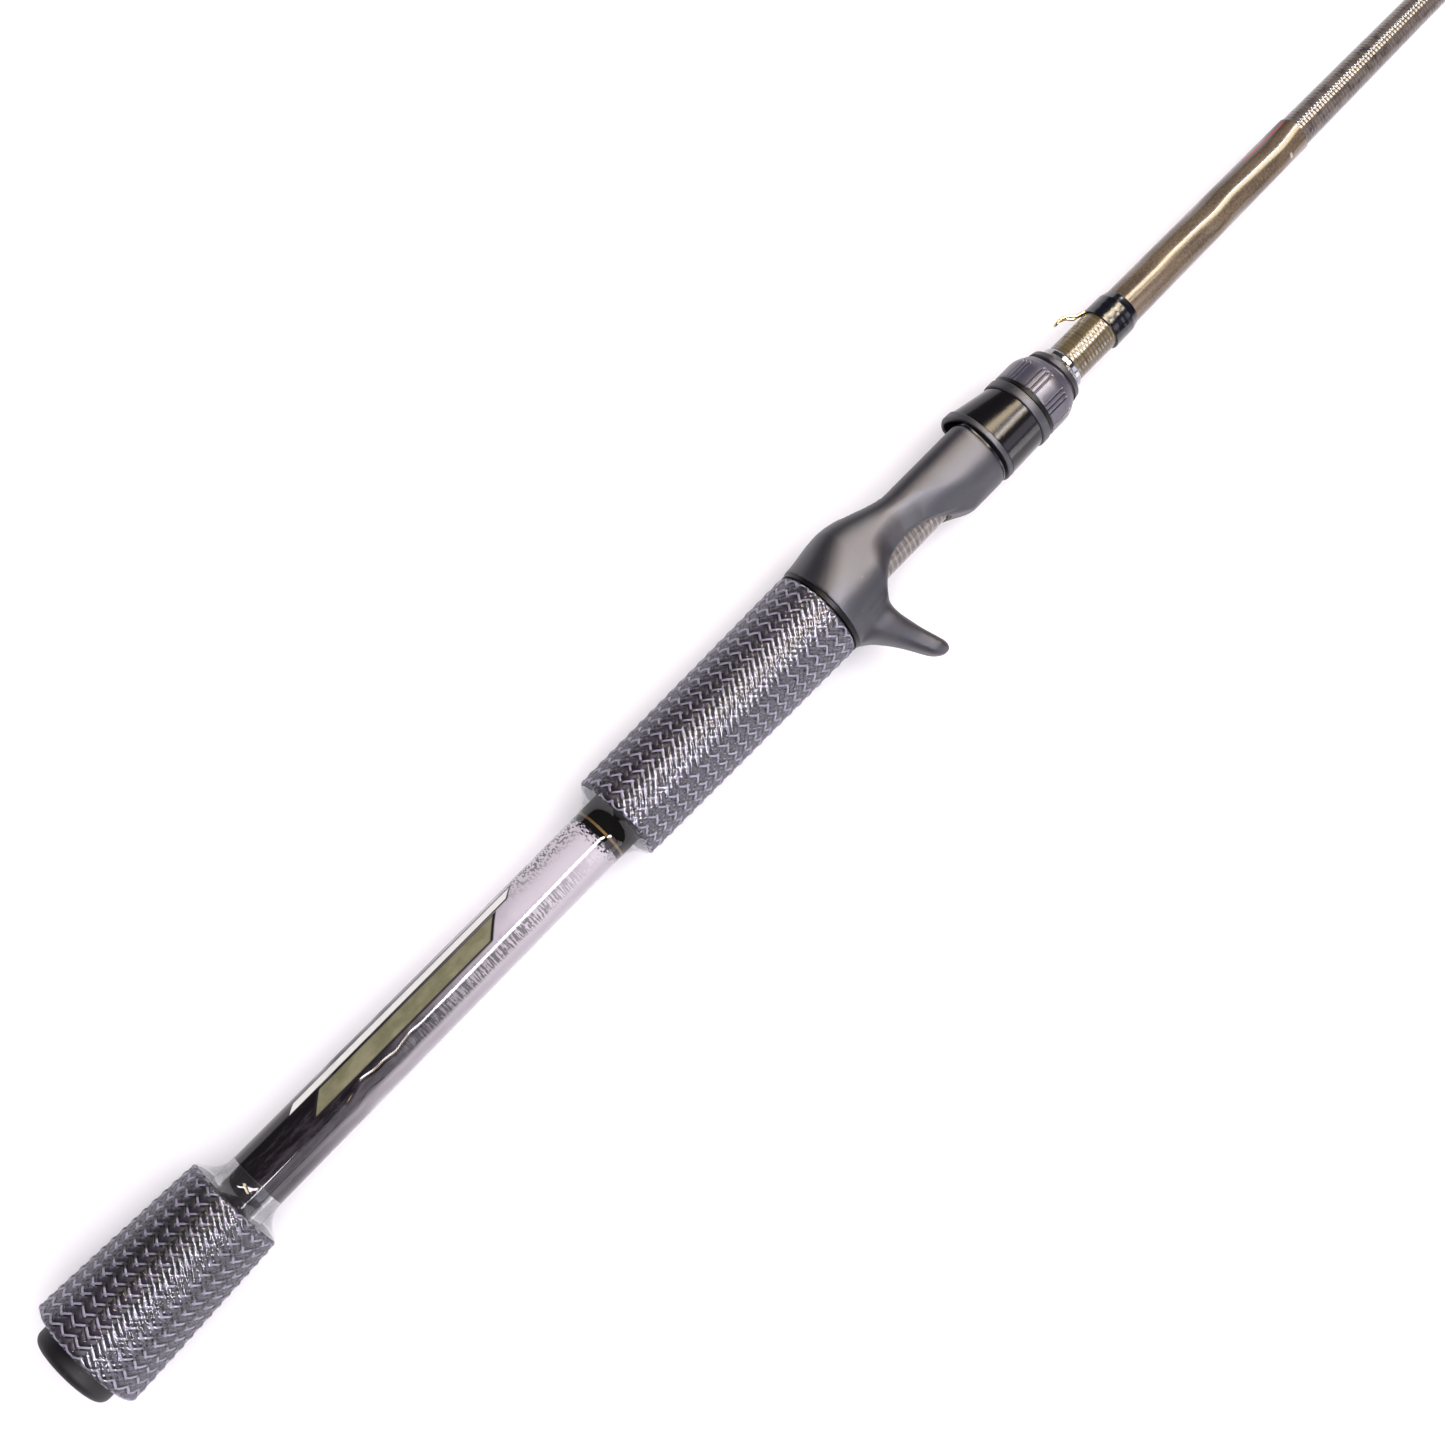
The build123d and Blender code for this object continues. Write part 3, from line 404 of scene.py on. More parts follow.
# the blank: bare carbon tape, its helical ridges left under a thin coat
TAPE = 1.25
RIB_PITCH = 1.8
blank = finish("carbon_blank", IOR=EPOXY_IOR)
x, angle, radius = blank.around()
tape = (x / TAPE + angle / 360.0) % 1.0
ridge = blank.step(tape, 0.0, 0.3) * blank.fall(tape, 0.6, 1.0)
weave = blank.drawn_noise(3.0, 0.6, x * 0.35, angle * 0.03, radius * 0.5)
flecks = blank.drawn_noise(2.0, 0.5, x * 1.1, angle * 0.012, 7.0)
tone = blank.step(weave * 0.7 + flecks * 0.3, 0.3, 0.6) * 0.85 + ridge * 0.15
bare = blank.mix(tone, (0.03, 0.024, 0.022), (0.13, 0.105, 0.088))
# painted highlight: pale lines along the tape's ribs, where the blank shows in the seat's finger recess
rib_glint = ((x / RIB_PITCH - angle / 300.0) * math.tau).math("SINE") > 0.35
rib_glint = rib_glint * blank.between(x, 262.0, 345.0, 4.0)
blank.set("Base_Color", blank.mix(rib_glint * 0.35, bare, (0.36, 0.33, 0.33)))
blank.set("Roughness", 0.06 + flecks * 0.05)
blank.bump(ridge, 0.05)

# the decorated length ahead of the hook keeper; places are in mm along the rod and degrees round it
COAT_END = 470.0
label = finish("olive_coat", IOR=EPOXY_IOR)
x, angle, _ = label.around()
streak = label.drawn_noise(2.0, 0.5, x * 0.055, angle * 0.02, 0.0)
sway = label.drawn_noise(1.0, 0.35, x * 0.045, 0.0, 5.0) * 2.0 - 1.0
grain = label.drawn_noise(3.0, 0.6, x * 1.4, angle * 0.12, 0.0)
tone = label.step(streak * 0.5 + grain * 0.5, 0.35, 0.65)
olive = label.mix(tone, (0.075, 0.053, 0.034), (0.16, 0.115, 0.073))
# painted shade: the decorated length darker towards its +Y side
painted_shade_top = label.step(angle, 20.0, 60.0) * label.step(x, 396.0, COAT_END)
olive = label.mix(painted_shade_top * 0.8, olive, (0.03, 0.021, 0.017))
red = label.between(x, 452.0, COAT_END, 0.6) * label.between(angle, 50.0, 58.0, 1.5)
olive = label.mix(red, olive, (0.32, 0.01, 0.006))
tick = label.between(x, 463.4, 464.2, 0.2) * label.between(angle, -58.0, -38.0, 3.0)
label.set("Base_Color", label.mix(tick * 0.8, olive, (0.5, 0.48, 0.46)))
label.set("Roughness", 0.12 + grain * 0.07)
label.bump(angle * sway, 0.036)

REAR_RAMP = [v / MM for v in span("rear_grip_ramp")]
MAIN_RAMP = [v / MM for v in span("main_grip_ramp")]

# the printed film under the rear shaft's clear coat; places are in mm along the rod and degrees round it
DOT = 0.42, 4.5
film = finish("printed_film", IOR=1.5)
x, angle, _ = film.around()
cell = film.joined((x / DOT[0]).math("FLOOR"), (angle / DOT[1]).math("FLOOR"), 0.0)
dots = film.node("ShaderNodeTexWhiteNoise", {"noise_dimensions": "2D"}, [cell])
broad = film.drawn_noise(3.0, 0.6, x * 0.12, angle * 0.03, 0.0)
streaks = film.drawn_noise(2.0, 0.5, x * 1.9, angle * 0.03, 4.0)
smear = film.drawn_noise(4.0, 0.7, x * 0.12, angle * 0.09, 9.0)

# its ground: smeared black at the rear, which fades to a pale front; towards -Y the black is painted paler, a
# painted reflection of the floor
smear_and_floor_reflection = film.step(smear + (10.0 - angle) * 0.003, 0.42, 0.72)
black = film.mix(smear_and_floor_reflection, (0.005, 0.0035, 0.005), (0.034, 0.027, 0.033))
paper = film.mix(film.step(x + (broad - 0.5) * 26.0, 100.0, 166.0), black, (0.48, 0.435, 0.47))

# its marks: fine hatching towards -Y, spots towards +Y, a ragged front edge
hatch = film.step(streaks + dots * 0.12, 0.48, 0.6) * film.fall(angle, -20.0, 6.0)
hatch = hatch * film.between(x, 108.0, 176.0, 12.0) * film.between(angle, -38.0, -3.0, 6.0)
hatch = hatch * (0.75 - film.step(x, 150.0, 184.0) * 0.5)
spots = film.step(dots + broad * 0.5, 0.86, 0.9) * film.step(angle, 18.0, 56.0) * film.step(x, 150.0, 166.0)
edge = film.step(x + (dots - 0.5) * 3.0, 180.6, 182.4)
paper = film.mix((hatch + spots * 0.8 + edge).math("MINIMUM", 1.0), paper, (0.008, 0.006, 0.009))

# its slanted bar and its plate, both with a dark edge
slanted = x - (angle - 56.0) * 0.16


def panel(first, last, low, high, soft):
    """A slanted panel of the film, from first to last along it and from low to high round it."""
    return film.between(slanted, first, last, soft) * film.between(angle, low, high, soft * 7)


bar = panel(81.4, 157.0, 44.5, 61.0, 0.22)
bar_edge = panel(80.6, 157.8, 41.0, 65.0, 0.3)
plate = panel(92.0, 152.6, 6.0, 38.0, 0.25)
plate_edge = panel(91.0, 153.8, 2.0, 40.5, 0.35)
paper = film.mix(bar_edge.math("MAXIMUM", plate_edge), paper, (0.012, 0.01, 0.012))
# painted reflection of the floor: a pale band along the film's -Y side, rising in from its rear
painted_floor_reflection = film.fall(angle, -44.0, -30.0) * film.step(x, 66.0, 110.0)
paper = film.mix(painted_floor_reflection * 0.75, paper, (0.34, 0.31, 0.34))
plate_tone = film.mix(film.step(broad, 0.35, 0.65), (0.14, 0.13, 0.075), (0.2, 0.188, 0.115))
paper = film.mix(plate, paper, plate_tone)
film.set("Base_Color", film.mix(bar, paper, (0.72, 0.7, 0.66)))

# under the grips' resin the film has no gloss of its own
sunk = film.fall(x, REAR_RAMP[1] - 0.3, REAR_RAMP[1] + 0.3)
film.set("Roughness", 0.03 + broad * 0.05 + sunk * 0.9)
sway = film.drawn_noise(1.0, 0.4, x * 0.085, 0.0, 2.0) * 2.0 - 1.0
film.bump((angle + 12.0) * sway * film.step(x, 84.0, 94.0) * film.fall(x, 110.0, 124.0), 0.05)

for part in frame["record"]["subparts"]:
    dress(finishes[part["material_slot"]].material, part["node"])

dress(trim.material, "seat_trim_ring", "nut_rear_ring")
dress(satin.material, "hood_shell")

# ---- making pieces -----------------------------------------------------------------------


def piece(name, mesh, slot, body, replaced=(), material=None):
    """Stands a finished mesh on its body, in its finish."""
    if material or not mesh.materials:
        mesh.materials.clear()
        mesh.materials.append((material or finishes[slot]).material)
    made = bpy.data.objects.new(name, mesh)
    bpy.context.scene.collection.objects.link(made)
    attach(made, body)
    if replaced:
        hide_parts(*replaced)
    return made


def mesh_of(name, form, crease=35):
    """A mesh from a bmesh, smooth but for edges sharper than crease degrees."""
    mesh = bpy.data.meshes.new(name)
    form.to_mesh(mesh)
    form.free()
    mesh.shade_smooth()
    mesh.set_sharp_from_angle(angle=math.radians(crease))
    return mesh


def eased_corners(outline, radius, steps=4):
    """The outline with each corner that has a radius rounded off. Points are (x, r, radius share)."""
    rounded = []
    count = len(outline)
    for i, (x, r, share) in enumerate(outline):
        if not share:
            rounded.append((x, r))
            continue
        here = Vector((x, r))
        before = Vector(outline[i - 1][:2]) - here
        after = Vector(outline[(i + 1) % count][:2]) - here
        reach = min(radius * share, before.length * 0.45, after.length * 0.45)
        start, end = here + before.normalized() * reach, here + after.normalized() * reach
        for k in range(steps + 1):
            s = k / steps
            rounded.append(tuple(start * (1 - s) ** 2 + here * 2 * s * (1 - s) + end * s * s))
    return rounded


def ringed(name, outline, turns, crease):
    """A closed skin through rings round the rod. The outline holds each ring's x and its radii, in mm."""
    form = bmesh.new()
    rings = []
    for x, radii in outline:
        rings.append([form.verts.new((x * MM, r * MM * math.sin(math.tau * k / turns),
                                      r * MM * math.cos(math.tau * k / turns))) for k, r in enumerate(radii)])
    for ring, other in zip(rings, rings[1:] + rings[:1]):
        for k in range(turns):
            after = (k + 1) % turns
            form.faces.new((ring[k], ring[after], other[after], other[k]))
    bmesh.ops.recalc_face_normals(form, faces=form.faces)
    return mesh_of(name, form, crease)


def turned(name, outline, turns, crease=35):
    """A turned piece from its closed half section in (x, r), in mm, with r above 0."""
    return ringed(name, [(x, [r] * turns) for x, r in outline], turns, crease)


def hosted(mesh):
    """A mesh on a passing object, which carries the modifiers that shape it."""
    host = bpy.data.objects.new(mesh.name, mesh)
    bpy.context.scene.collection.objects.link(host)
    return host


def baked(host, name):
    """What the host's modifiers make, as a plain smooth mesh. The host goes."""
    bpy.context.view_layer.update()
    made = bpy.data.meshes.new_from_object(host.evaluated_get(bpy.context.evaluated_depsgraph_get()))
    bpy.data.objects.remove(host)
    made.name = name
    made.shade_smooth()
    return made


def outward(mesh):
    """The mesh with its normals pointing out."""
    form = bmesh.new()
    form.from_mesh(mesh)
    bmesh.ops.recalc_face_normals(form, faces=form.faces)
    form.to_mesh(mesh)
    form.free()
    return mesh


class Shape(Tree):
    """A geometry tree with named sizes, which ends in real geometry in its finish."""

    def __init__(self, name, **sizes):
        self.group = bpy.data.node_groups.new(name, "GeometryNodeTree")
        super().__init__(self.group)
        self.group.interface.new_socket("Geometry", in_out="OUTPUT", socket_type="NodeSocketGeometry")
        self.inputs = []
        for key, value in sizes.items():
            kind = "NodeSocketInt" if isinstance(value, int) else "NodeSocketFloat"
            socket = self.group.interface.new_socket(key, in_out="INPUT", socket_type=kind)
            self.inputs.append((socket.identifier, value))
        self.entry = self.node("NodeGroupInput").made

    def size(self, key):
        return Term(self, self.entry.outputs[key])

    def tube_grid(self):
        """A grid to roll into a tube, of the sizes rows, turns, reach and length.

        Gives the grid, the share along the tube, the turn, and 1 at the rows past its ends, else 0.
        """
        grid = self.node("GeometryNodeMeshGrid", None, {"Size X": 1.0, "Size Y": 1.0,
                                                        "Vertices X": self.size("rows"),
                                                        "Vertices Y": self.size("turns")})
        place, turn, _ = self.parts(self.node("GeometryNodeInputPosition"))
        share = place * self.size("reach") + 0.5
        level = share.math("MAXIMUM", 0.0).math("MINIMUM", 1.0)
        past = (share - level).math("ABSOLUTE") * self.size("length") > 0.02
        return grid, level, turn, past

    def rolled(self, grid, x, y, z, slot, crease):
        """The tube: its grid's points stood at x, y, z in mm, and its seam closed."""
        moved = self.node("GeometryNodeSetPosition", None,
                          {"Geometry": grid, "Position": self.joined(x * MM, y * MM, z * MM)})
        merged = self.node("GeometryNodeMergeByDistance", None, {"Geometry": moved, "Distance": 1e-6})
        return outward(self.result(merged, slot, crease))

    def result(self, geometry, slot, crease):
        """Ends the tree and returns what it makes as a plain mesh."""
        real = self.node("GeometryNodeRealizeInstances", None, [geometry])
        ended = self.node("GeometryNodeSetMaterial", None,
                          {"Geometry": real, "Material": finishes[slot].material})
        self.node("NodeGroupOutput", None, [ended])
        host = hosted(bpy.data.meshes.new(self.group.name))
        modifier = host.modifiers.new("shape", "NODES")
        modifier.node_group = self.group
        for identifier, value in self.inputs:
            modifier[identifier] = value
        mesh = baked(host, self.group.name)
        mesh.set_sharp_from_angle(angle=math.radians(crease))
        return mesh


# ---- rear shaft --------------------------------------------------------------------------


def swollen(name, node, extra):
    """A turned part's mesh with its skin moved out a little, so that it shows on the film over it."""
    form = bmesh.new()
    form.from_mesh(frame["nodes"][node].data)
    bmesh.ops.remove_doubles(form, verts=form.verts, dist=1e-6)
    for vertex in form.verts:
        radius = math.hypot(vertex.co.y, vertex.co.z)
        share = (radius + extra * MM) / radius
        vertex.co.y *= share
        vertex.co.z *= share
    return mesh_of(name, form)


for name, node, slot, extra, look in (
        ("trim_black_band", "trim_band", "gloss_black", 0.02, "sunk_black"),
        ("trim_gold_line", "trim_gold_ring", "gold_thread", 0.06, "gold_thread")):
    piece(name, swollen(name, node, extra), slot, "rod", [node], finishes[look])

# the shaft's radii, the film's rear end and wall, and how hollow the resin's curve is
SHAFT_REAR_R, SHAFT_FRONT_R = span("shaft_clearcoat")[2] / MM, 7.95
FILM_REAR, FILM_WALL = REAR_RAMP[0] + 0.1, 0.8
FLARE = 2.6
SHAFT_TURNS = 128
skin = [(FILM_REAR, SHAFT_REAR_R), (MAIN_RAMP[0], SHAFT_FRONT_R),
        (MAIN_RAMP[0], SHAFT_FRONT_R - FILM_WALL), (FILM_REAR, SHAFT_REAR_R - FILM_WALL)]
piece("shaft_film", turned("shaft_film", skin, SHAFT_TURNS), "printed_film", "rod",
      ["shaft_scrim", "shaft_clearcoat"])


def flare(x0, x1, r0, r1):
    """The hollow curve of resin that runs up from the shaft at x0, r0 to a grip's end at x1, r1."""
    shares = [i / 16 for i in range(17)]
    return [(x0 + (x1 - x0) * share, r0 + (r1 - r0) * share ** FLARE) for share in shares]


for name, node, foot, end, foot_r, grip_r in (
        ("rear_resin", "rear_grip_ramp", REAR_RAMP[1], REAR_RAMP[0] + 0.05, SHAFT_REAR_R, REAR_RAMP[2]),
        ("main_resin", "main_grip_ramp", MAIN_RAMP[0], MAIN_RAMP[1] - 0.05, SHAFT_FRONT_R, MAIN_RAMP[2])):
    line = flare(foot, end, foot_r + 0.03, grip_r + 0.6) + [(end, foot_r + 0.01), (foot, foot_r + 0.01)]
    piece(name, turned(name, line, SHAFT_TURNS, crease=50), "clear_resin", "rod", [node],
          finishes["ramp_resin"])

# ---- braided grips -----------------------------------------------------------------------

# the braid's columns round a grip, its pitch along each grip, its yarns' widths and the sleeve's rounded ends
COLUMNS = 21
REAR_PITCH, MAIN_PITCH = 3.26, 3.77
SILVER_WIDTH, BROWN_WIDTH = 0.58, 1.5
SLEEVE_ROUND = 1.5
END_TUCK = 0.7


def yarn_count(direction):
    """How many yarns run round a grip in a direction, 1 or -1."""
    return COLUMNS * 2 + direction * 8


def yarns(name, slot, grip, direction, dark, width, thick, depth, wave):
    """One colour of one direction of a grip's braid: yarns that ride over two and under two."""
    x0, x1, r0, r1, pitch = grip
    straight = x1 - x0 - 2 * SLEEVE_ROUND
    wrap = SLEEVE_ROUND * math.pi / 2 + END_TUCK
    lead = yarn_count(direction) * pitch / 2
    steps = math.ceil((straight + 2 * wrap) / lead * COLUMNS * 8)
    shape = Shape(name, yarns=yarn_count(direction) // 2, steps=steps, lead=lead, straight=straight,
                  wrap=wrap, rear_end=x0, rear_radius=r0, front_radius=r1, corner=SLEEVE_ROUND,
                  wave=wave, depth=depth, width=width, thick=thick, columns=float(COLUMNS),
                  phase=0.5 if dark else 0.0, turn=float(direction))
    size = shape.size
    line = shape.node("GeometryNodeCurvePrimitiveLine", None, {"End": (1, 0, 0)})
    line = shape.node("GeometryNodeResampleCurve", {"mode": "COUNT"}, {"Curve": line, "Count": size("steps")})
    many = shape.node("GeometryNodeDuplicateElements", {"domain": "SPLINE"},
                      {"Geometry": line, "Amount": size("yarns")})
    index = Term(shape, many.made.outputs["Duplicate Index"])
    gone = shape.node("GeometryNodeSplineParameter") * (size("straight") + 2.0 * size("wrap")) - size("wrap")
    turn = (gone / size("lead") - (index + size("phase")) / size("yarns")) * math.tau
    turn = turn * size("turn") * -1.0
    # the sleeve's own line: rear end face, corner, cone, corner, front end face
    past = (-gone).math("MAXIMUM", 0.0).math("MAXIMUM", (gone - size("straight")).math("MAXIMUM", 0.0))
    bend = (past / size("corner")).math("MINIMUM", math.pi / 2)
    level_out, round_in = bend.math("COSINE"), bend.math("SINE")
    side = (gone > size("straight") * 0.5) * 2.0 - 1.0
    level = gone.math("MAXIMUM", 0.0).math("MINIMUM", size("straight"))
    cone = size("rear_radius") + (size("front_radius") - size("rear_radius")) * level / size("straight")
    flat = (past - size("corner") * (math.pi / 2)).math("MAXIMUM", 0.0)
    skin_x = size("rear_end") + size("corner") + level + side * size("corner") * round_in
    skin_r = cone - size("corner") * (1.0 - level_out) - flat
    rise = (turn * size("columns")).math("SINE") * size("turn")
    ride = rise * size("wave") - size("depth")
    x = skin_x + side * round_in * ride
    r = skin_r + level_out * ride
    sine, cosine = turn.math("SINE"), turn.math("COSINE")
    upright = shape.joined(side * round_in, level_out * sine, level_out * cosine)
    placed = shape.node("GeometryNodeSetPosition", None,
                        {"Geometry": many, "Position": shape.joined(x * MM, r * sine * MM, r * cosine * MM)})
    placed = shape.node("GeometryNodeStoreNamedAttribute", {"data_type": "FLOAT", "domain": "POINT"},
                        {"Geometry": placed, "Name": "rise", "Value": rise})
    placed = shape.node("GeometryNodeSetCurveNormal", {"mode": "FREE"}, {"Curve": placed, "Normal": upright})
    placed = shape.node("GeometryNodeStoreNamedAttribute", {"data_type": "FLOAT", "domain": "CURVE"},
                        {"Geometry": placed, "Name": "yarn", "Value": index})
    section = shape.node("GeometryNodeCurvePrimitiveCircle", {"mode": "RADIUS"},
                         {"Resolution": 8, "Radius": 1.0})
    oval = shape.joined(size("thick") * (MM / 2), size("width") * (MM / 2), 1.0)
    section = shape.node("GeometryNodeTransform", None, {"Geometry": section, "Scale": oval})
    tubes = shape.node("GeometryNodeCurveToMesh", None,
                       {"Curve": placed, "Profile Curve": section, "Fill Caps": True})
    return shape.result(tubes, slot, 180)


def joined_meshes(name, parts):
    """Several meshes as one."""
    form = bmesh.new()
    for part in parts:
        form.from_mesh(part)
    mesh = bpy.data.meshes.new(name)
    form.to_mesh(mesh)
    form.free()
    for material in parts[0].materials:
        mesh.materials.append(material)
    mesh.shade_smooth()
    return mesh


def braided_grip(label, node, rear_radius, front_radius, pitch):
    """A grip's braid in its two colours under a clear skin, over the dark resin between the yarns."""
    x0, x1, _ = span(node)
    grip = (x0 / MM, x1 / MM, rear_radius, front_radius, pitch)

    def end_line(gap, lift, inset, radius, steps=4):
        """A closed half section of the grip: gap from its ends, lift above its yarns, inset at its ends."""
        return eased_corners([
            (grip[0] + gap, rear_radius - inset, 0), (grip[0] + gap, rear_radius + lift, 1),
            (grip[1] - gap, front_radius + lift, 1), (grip[1] - gap, front_radius - inset, 0)], radius, steps)

    silver = [yarns(f"{label}_silver_{way}", "silver_yarn", grip, way, False,
                    SILVER_WIDTH * (1.08 - way * 0.08), thick=0.4, depth=0.44, wave=0.25) for way in (1, -1)]
    brown = [yarns(f"{label}_brown_{way}", "brown_yarn", grip, way, True,
                   BROWN_WIDTH * (1.06 - way * 0.06), thick=0.5, depth=0.74, wave=0.22) for way in (1, -1)]
    piece(f"{label}_braid_silver", joined_meshes(f"{label}_braid_silver", silver), "braided_sleeve", "rod",
          [node])
    piece(f"{label}_braid_brown", joined_meshes(f"{label}_braid_brown", brown), "braided_sleeve", "rod")
    clear = end_line(gap=0.02, lift=0.06, inset=3.0, radius=SLEEVE_ROUND, steps=8)
    piece(f"{label}_clear", turned(f"{label}_clear", clear, turns=180, crease=60), "braided_sleeve", "rod",
          material=finishes["braid_clear"])
    bed = end_line(gap=0.62, lift=-0.78, inset=3.2, radius=1.1)
    piece(f"{label}_braid_bed", turned(f"{label}_braid_bed", bed, turns=72), "braided_sleeve", "rod",
          material=finishes["braid_resin"])


def fibre(name, colour, sheen, rough):
    """A braid yarn in resin: fine filaments along it, painted shade where it dips, uneven from yarn to yarn.
    """
    made = finish(name, Metallic=sheen)
    yarn = made.node("ShaderNodeAttribute", {"attribute_name": "yarn"}, None, "Fac")
    scattered = (yarn * 12.9898).math("SINE")
    shade = made.noise(0.25) * 0.5 + scattered * 0.12 + 0.25
    rise = made.node("ShaderNodeAttribute", {"attribute_name": "rise"}, None, "Fac")
    tone = made.ramp(shade, (0.15, shaded(colour, 0.55)), (0.5, colour), (0.85, shaded(colour, 1.5)))
    # painted shade: the yarn darkened where it dips under its neighbours
    made.set("Base_Color", made.mix(made.step(rise, -0.55, 0.35), shaded(colour, 0.05), tone))
    grain = made.noise(2.2, 3.0, 0.6)
    made.set("Roughness", rough + (grain - 0.5) * 0.2)
    made.bump(grain, 0.12, 0.8)


fibre("silver_yarn", (0.222, 0.2, 0.262), sheen=0.1, rough=0.45)
fibre("brown_yarn", (0.014, 0.009, 0.02), sheen=0.0, rough=0.5)
finish("braid_resin", Base_Color=(0.002, 0.0012, 0.003), Roughness=0.4)

# the clear skin swells a little over each crossing of the yarns
REAR_ROW, MAIN_ROW, BETWEEN_GRIPS = 6.9, 191.6, 120.0
shell = clear_skin("braid_clear", (1.0, 1.0, 1.0), most=0.075, rough=0.05)
shell.set("Base_Color", (0.88, 0.9, 1.0))
x, angle, _ = shell.around()
main = x > BETWEEN_GRIPS
row_pitch = REAR_PITCH / 2 + main * ((MAIN_PITCH - REAR_PITCH) / 2)
row = (x - REAR_ROW - main * (MAIN_ROW - REAR_ROW)) / row_pitch
knot = sum(((row + angle * (way * yarn_count(way) / 360)) * math.tau).math("COSINE") for way in (1, -1))
shell.bump(knot * 0.4 + shell.noise(1.6, 2.0, 0.6) * 0.5, 0.105)

braided_grip("rear_grip", "rear_grip_sleeve", rear_radius=16.5, front_radius=14.35, pitch=REAR_PITCH)
braided_grip("main_grip", "main_grip_sleeve", rear_radius=13.2, front_radius=13.85, pitch=MAIN_PITCH)

# ---- reel seat ---------------------------------------------------------------------------

# in mm along the rod: the seat's rear end and the threaded barrel's two ends, where the skin over the seat
# ends, and the finger recess; then the radius of the bore over the blank
SEAT, BARREL_END = (v / MM for v in span("reel_seat_body")[:2])
BARREL = span("hood_shell")[0] / MM - 2.5
SEAT_END = BARREL - 0.6
RECESS = SEAT + 15.0
RECESS_END = RECESS + 36.5
BORE = 7.35


def refined(name, node, voxel, rounds, cut=None):
    """A part's solid as one even skin, its edges eased; cut is where it ends along the rod, in mm."""
    form = bmesh.new()
    form.from_mesh(frame["nodes"][node].data)
    bmesh.ops.remove_doubles(form, verts=form.verts, dist=1e-6)
    if cut:
        ends = bmesh.ops.bisect_plane(form, geom=form.verts[:] + form.edges[:] + form.faces[:], dist=1e-7,
                                      plane_co=(cut * MM, 0, 0), plane_no=(1, 0, 0), clear_outer=True)
        edges = [e for e in ends["geom_cut"] if isinstance(e, bmesh.types.BMEdge)]
        bmesh.ops.triangle_fill(form, edges=edges, use_beauty=True)
    mesh = bpy.data.meshes.new(name)
    form.to_mesh(mesh)
    form.free()
    host = hosted(mesh)
    remesh = host.modifiers.new("even", "REMESH")
    remesh.mode, remesh.voxel_size = "VOXEL", voxel * MM
    smooth = host.modifiers.new("ease", "SMOOTH")
    smooth.factor, smooth.iterations = 0.5, rounds
    return baked(host, name)


def relaxed(mesh, rounds, weight_at):
    """The mesh with its skin relaxed where weight_at(x, y, z), in mm, says so."""
    host = hosted(mesh)
    group = host.vertex_groups.new(name="relaxed")
    for vertex in mesh.vertices:
        weight = weight_at(*(c / MM for c in vertex.co))
        if weight > 0:
            group.add([vertex.index], weight, "REPLACE")
    smooth = host.modifiers.new("relax", "SMOOTH")
    smooth.factor, smooth.iterations, smooth.vertex_group = 0.5, rounds, "relaxed"
    return baked(host, mesh.name)


def smoothed(value, low, high):
    """0 under low, 1 over high, smooth between."""
    share = min(1.0, max(0.0, (value - low) / (high - low)))
    return share * share * (3 - 2 * share)


def fading(value, low, high):
    """1 under low, 0 over high, smooth between."""
    return 1 - smoothed(value, low, high)


# the finger recess's edge, seen from the side: x from the recess's rear end and y, in mm
RECESS_LINE = [(-1.0, -16.05), (-1.5, -12.85), (-0.6, -9.65), (2.8, -5.95), (7.6, -3.4), (15.3, -2.0),
               (21.0, -2.9), (26.3, -5.6), (31.5, -8.4), (36.5, -10.75)]


def recess_distance(x, y):
    """How far a point beside the seat is from the edge of the finger recess, in mm."""
    best = 99.0
    for (x0, y0), (x1, y1) in zip(RECESS_LINE, RECESS_LINE[1:]):
        ax, ay, bx, by = RECESS + x0, y0, RECESS + x1, y1
        length = (bx - ax) ** 2 + (by - ay) ** 2
        share = min(1.0, max(0.0, ((x - ax) * (bx - ax) + (y - ay) * (by - ay)) / length))
        best = min(best, math.hypot(x - ax - share * (bx - ax), y - ay - share * (by - ay)))
    return best


def root_weight(x, y, z):
    """How far the trigger's root is blended into the seat."""
    if math.hypot(y, z) < BORE + 0.6:
        return 0.0
    share = smoothed(x, SEAT + 1.0, SEAT + 4.0) * fading(x, SEAT + 17.0, SEAT + 24.0)
    return share * smoothed(-y, 2.0, 8.0) * fading(-y, 20.0, 27.0)


def saddle_weight(x, y, z):
    """How far the skin round the recess is blended."""
    if math.hypot(y, z) < BORE + 0.5:
        return 0.0
    share = smoothed(x, SEAT + 3.0, SEAT + 10.0) * fading(x, SEAT + 50.0, SEAT + 56.0)
    return share * smoothed(abs(z), 2.0, 5.0) * fading(-y, 18.0, 24.0) * smoothed(6.0 - y, 0.0, 6.0)


def shaped_seat(mesh, draw_in=0.5, broaden=0.3):
    """Draws the skin in beside the finger recess, and broadens the trigger's root, by shares of its width."""
    for vertex in mesh.vertices:
        x, y, z = (c / MM for c in vertex.co)
        radius = math.hypot(y, z)
        if radius > BORE and RECESS - 3 < x < RECESS_END + 8:
            near = fading(recess_distance(x, y), 0.0, 8.5) * smoothed(abs(z), 3.0, 7.0)
            near *= smoothed(x, RECESS + 1.0, RECESS + 9.0) * fading(x, RECESS_END - 7.0, RECESS_END + 5.0)
            share = (BORE + (radius - BORE) * (1 - draw_in * near)) / radius
            vertex.co.y *= share
            vertex.co.z *= share
        x, y, z = (c / MM for c in vertex.co)
        broad = smoothed(-y, 6.0, 11.0) * fading(-y, 13.0, 27.0) * fading(abs(z), 6.0, 11.0)
        broad *= smoothed(x, SEAT + 1.5, SEAT + 6.0) * fading(x, SEAT + 16.0, SEAT + 20.0)
        vertex.co.z *= 1 + broaden * broad
    return mesh


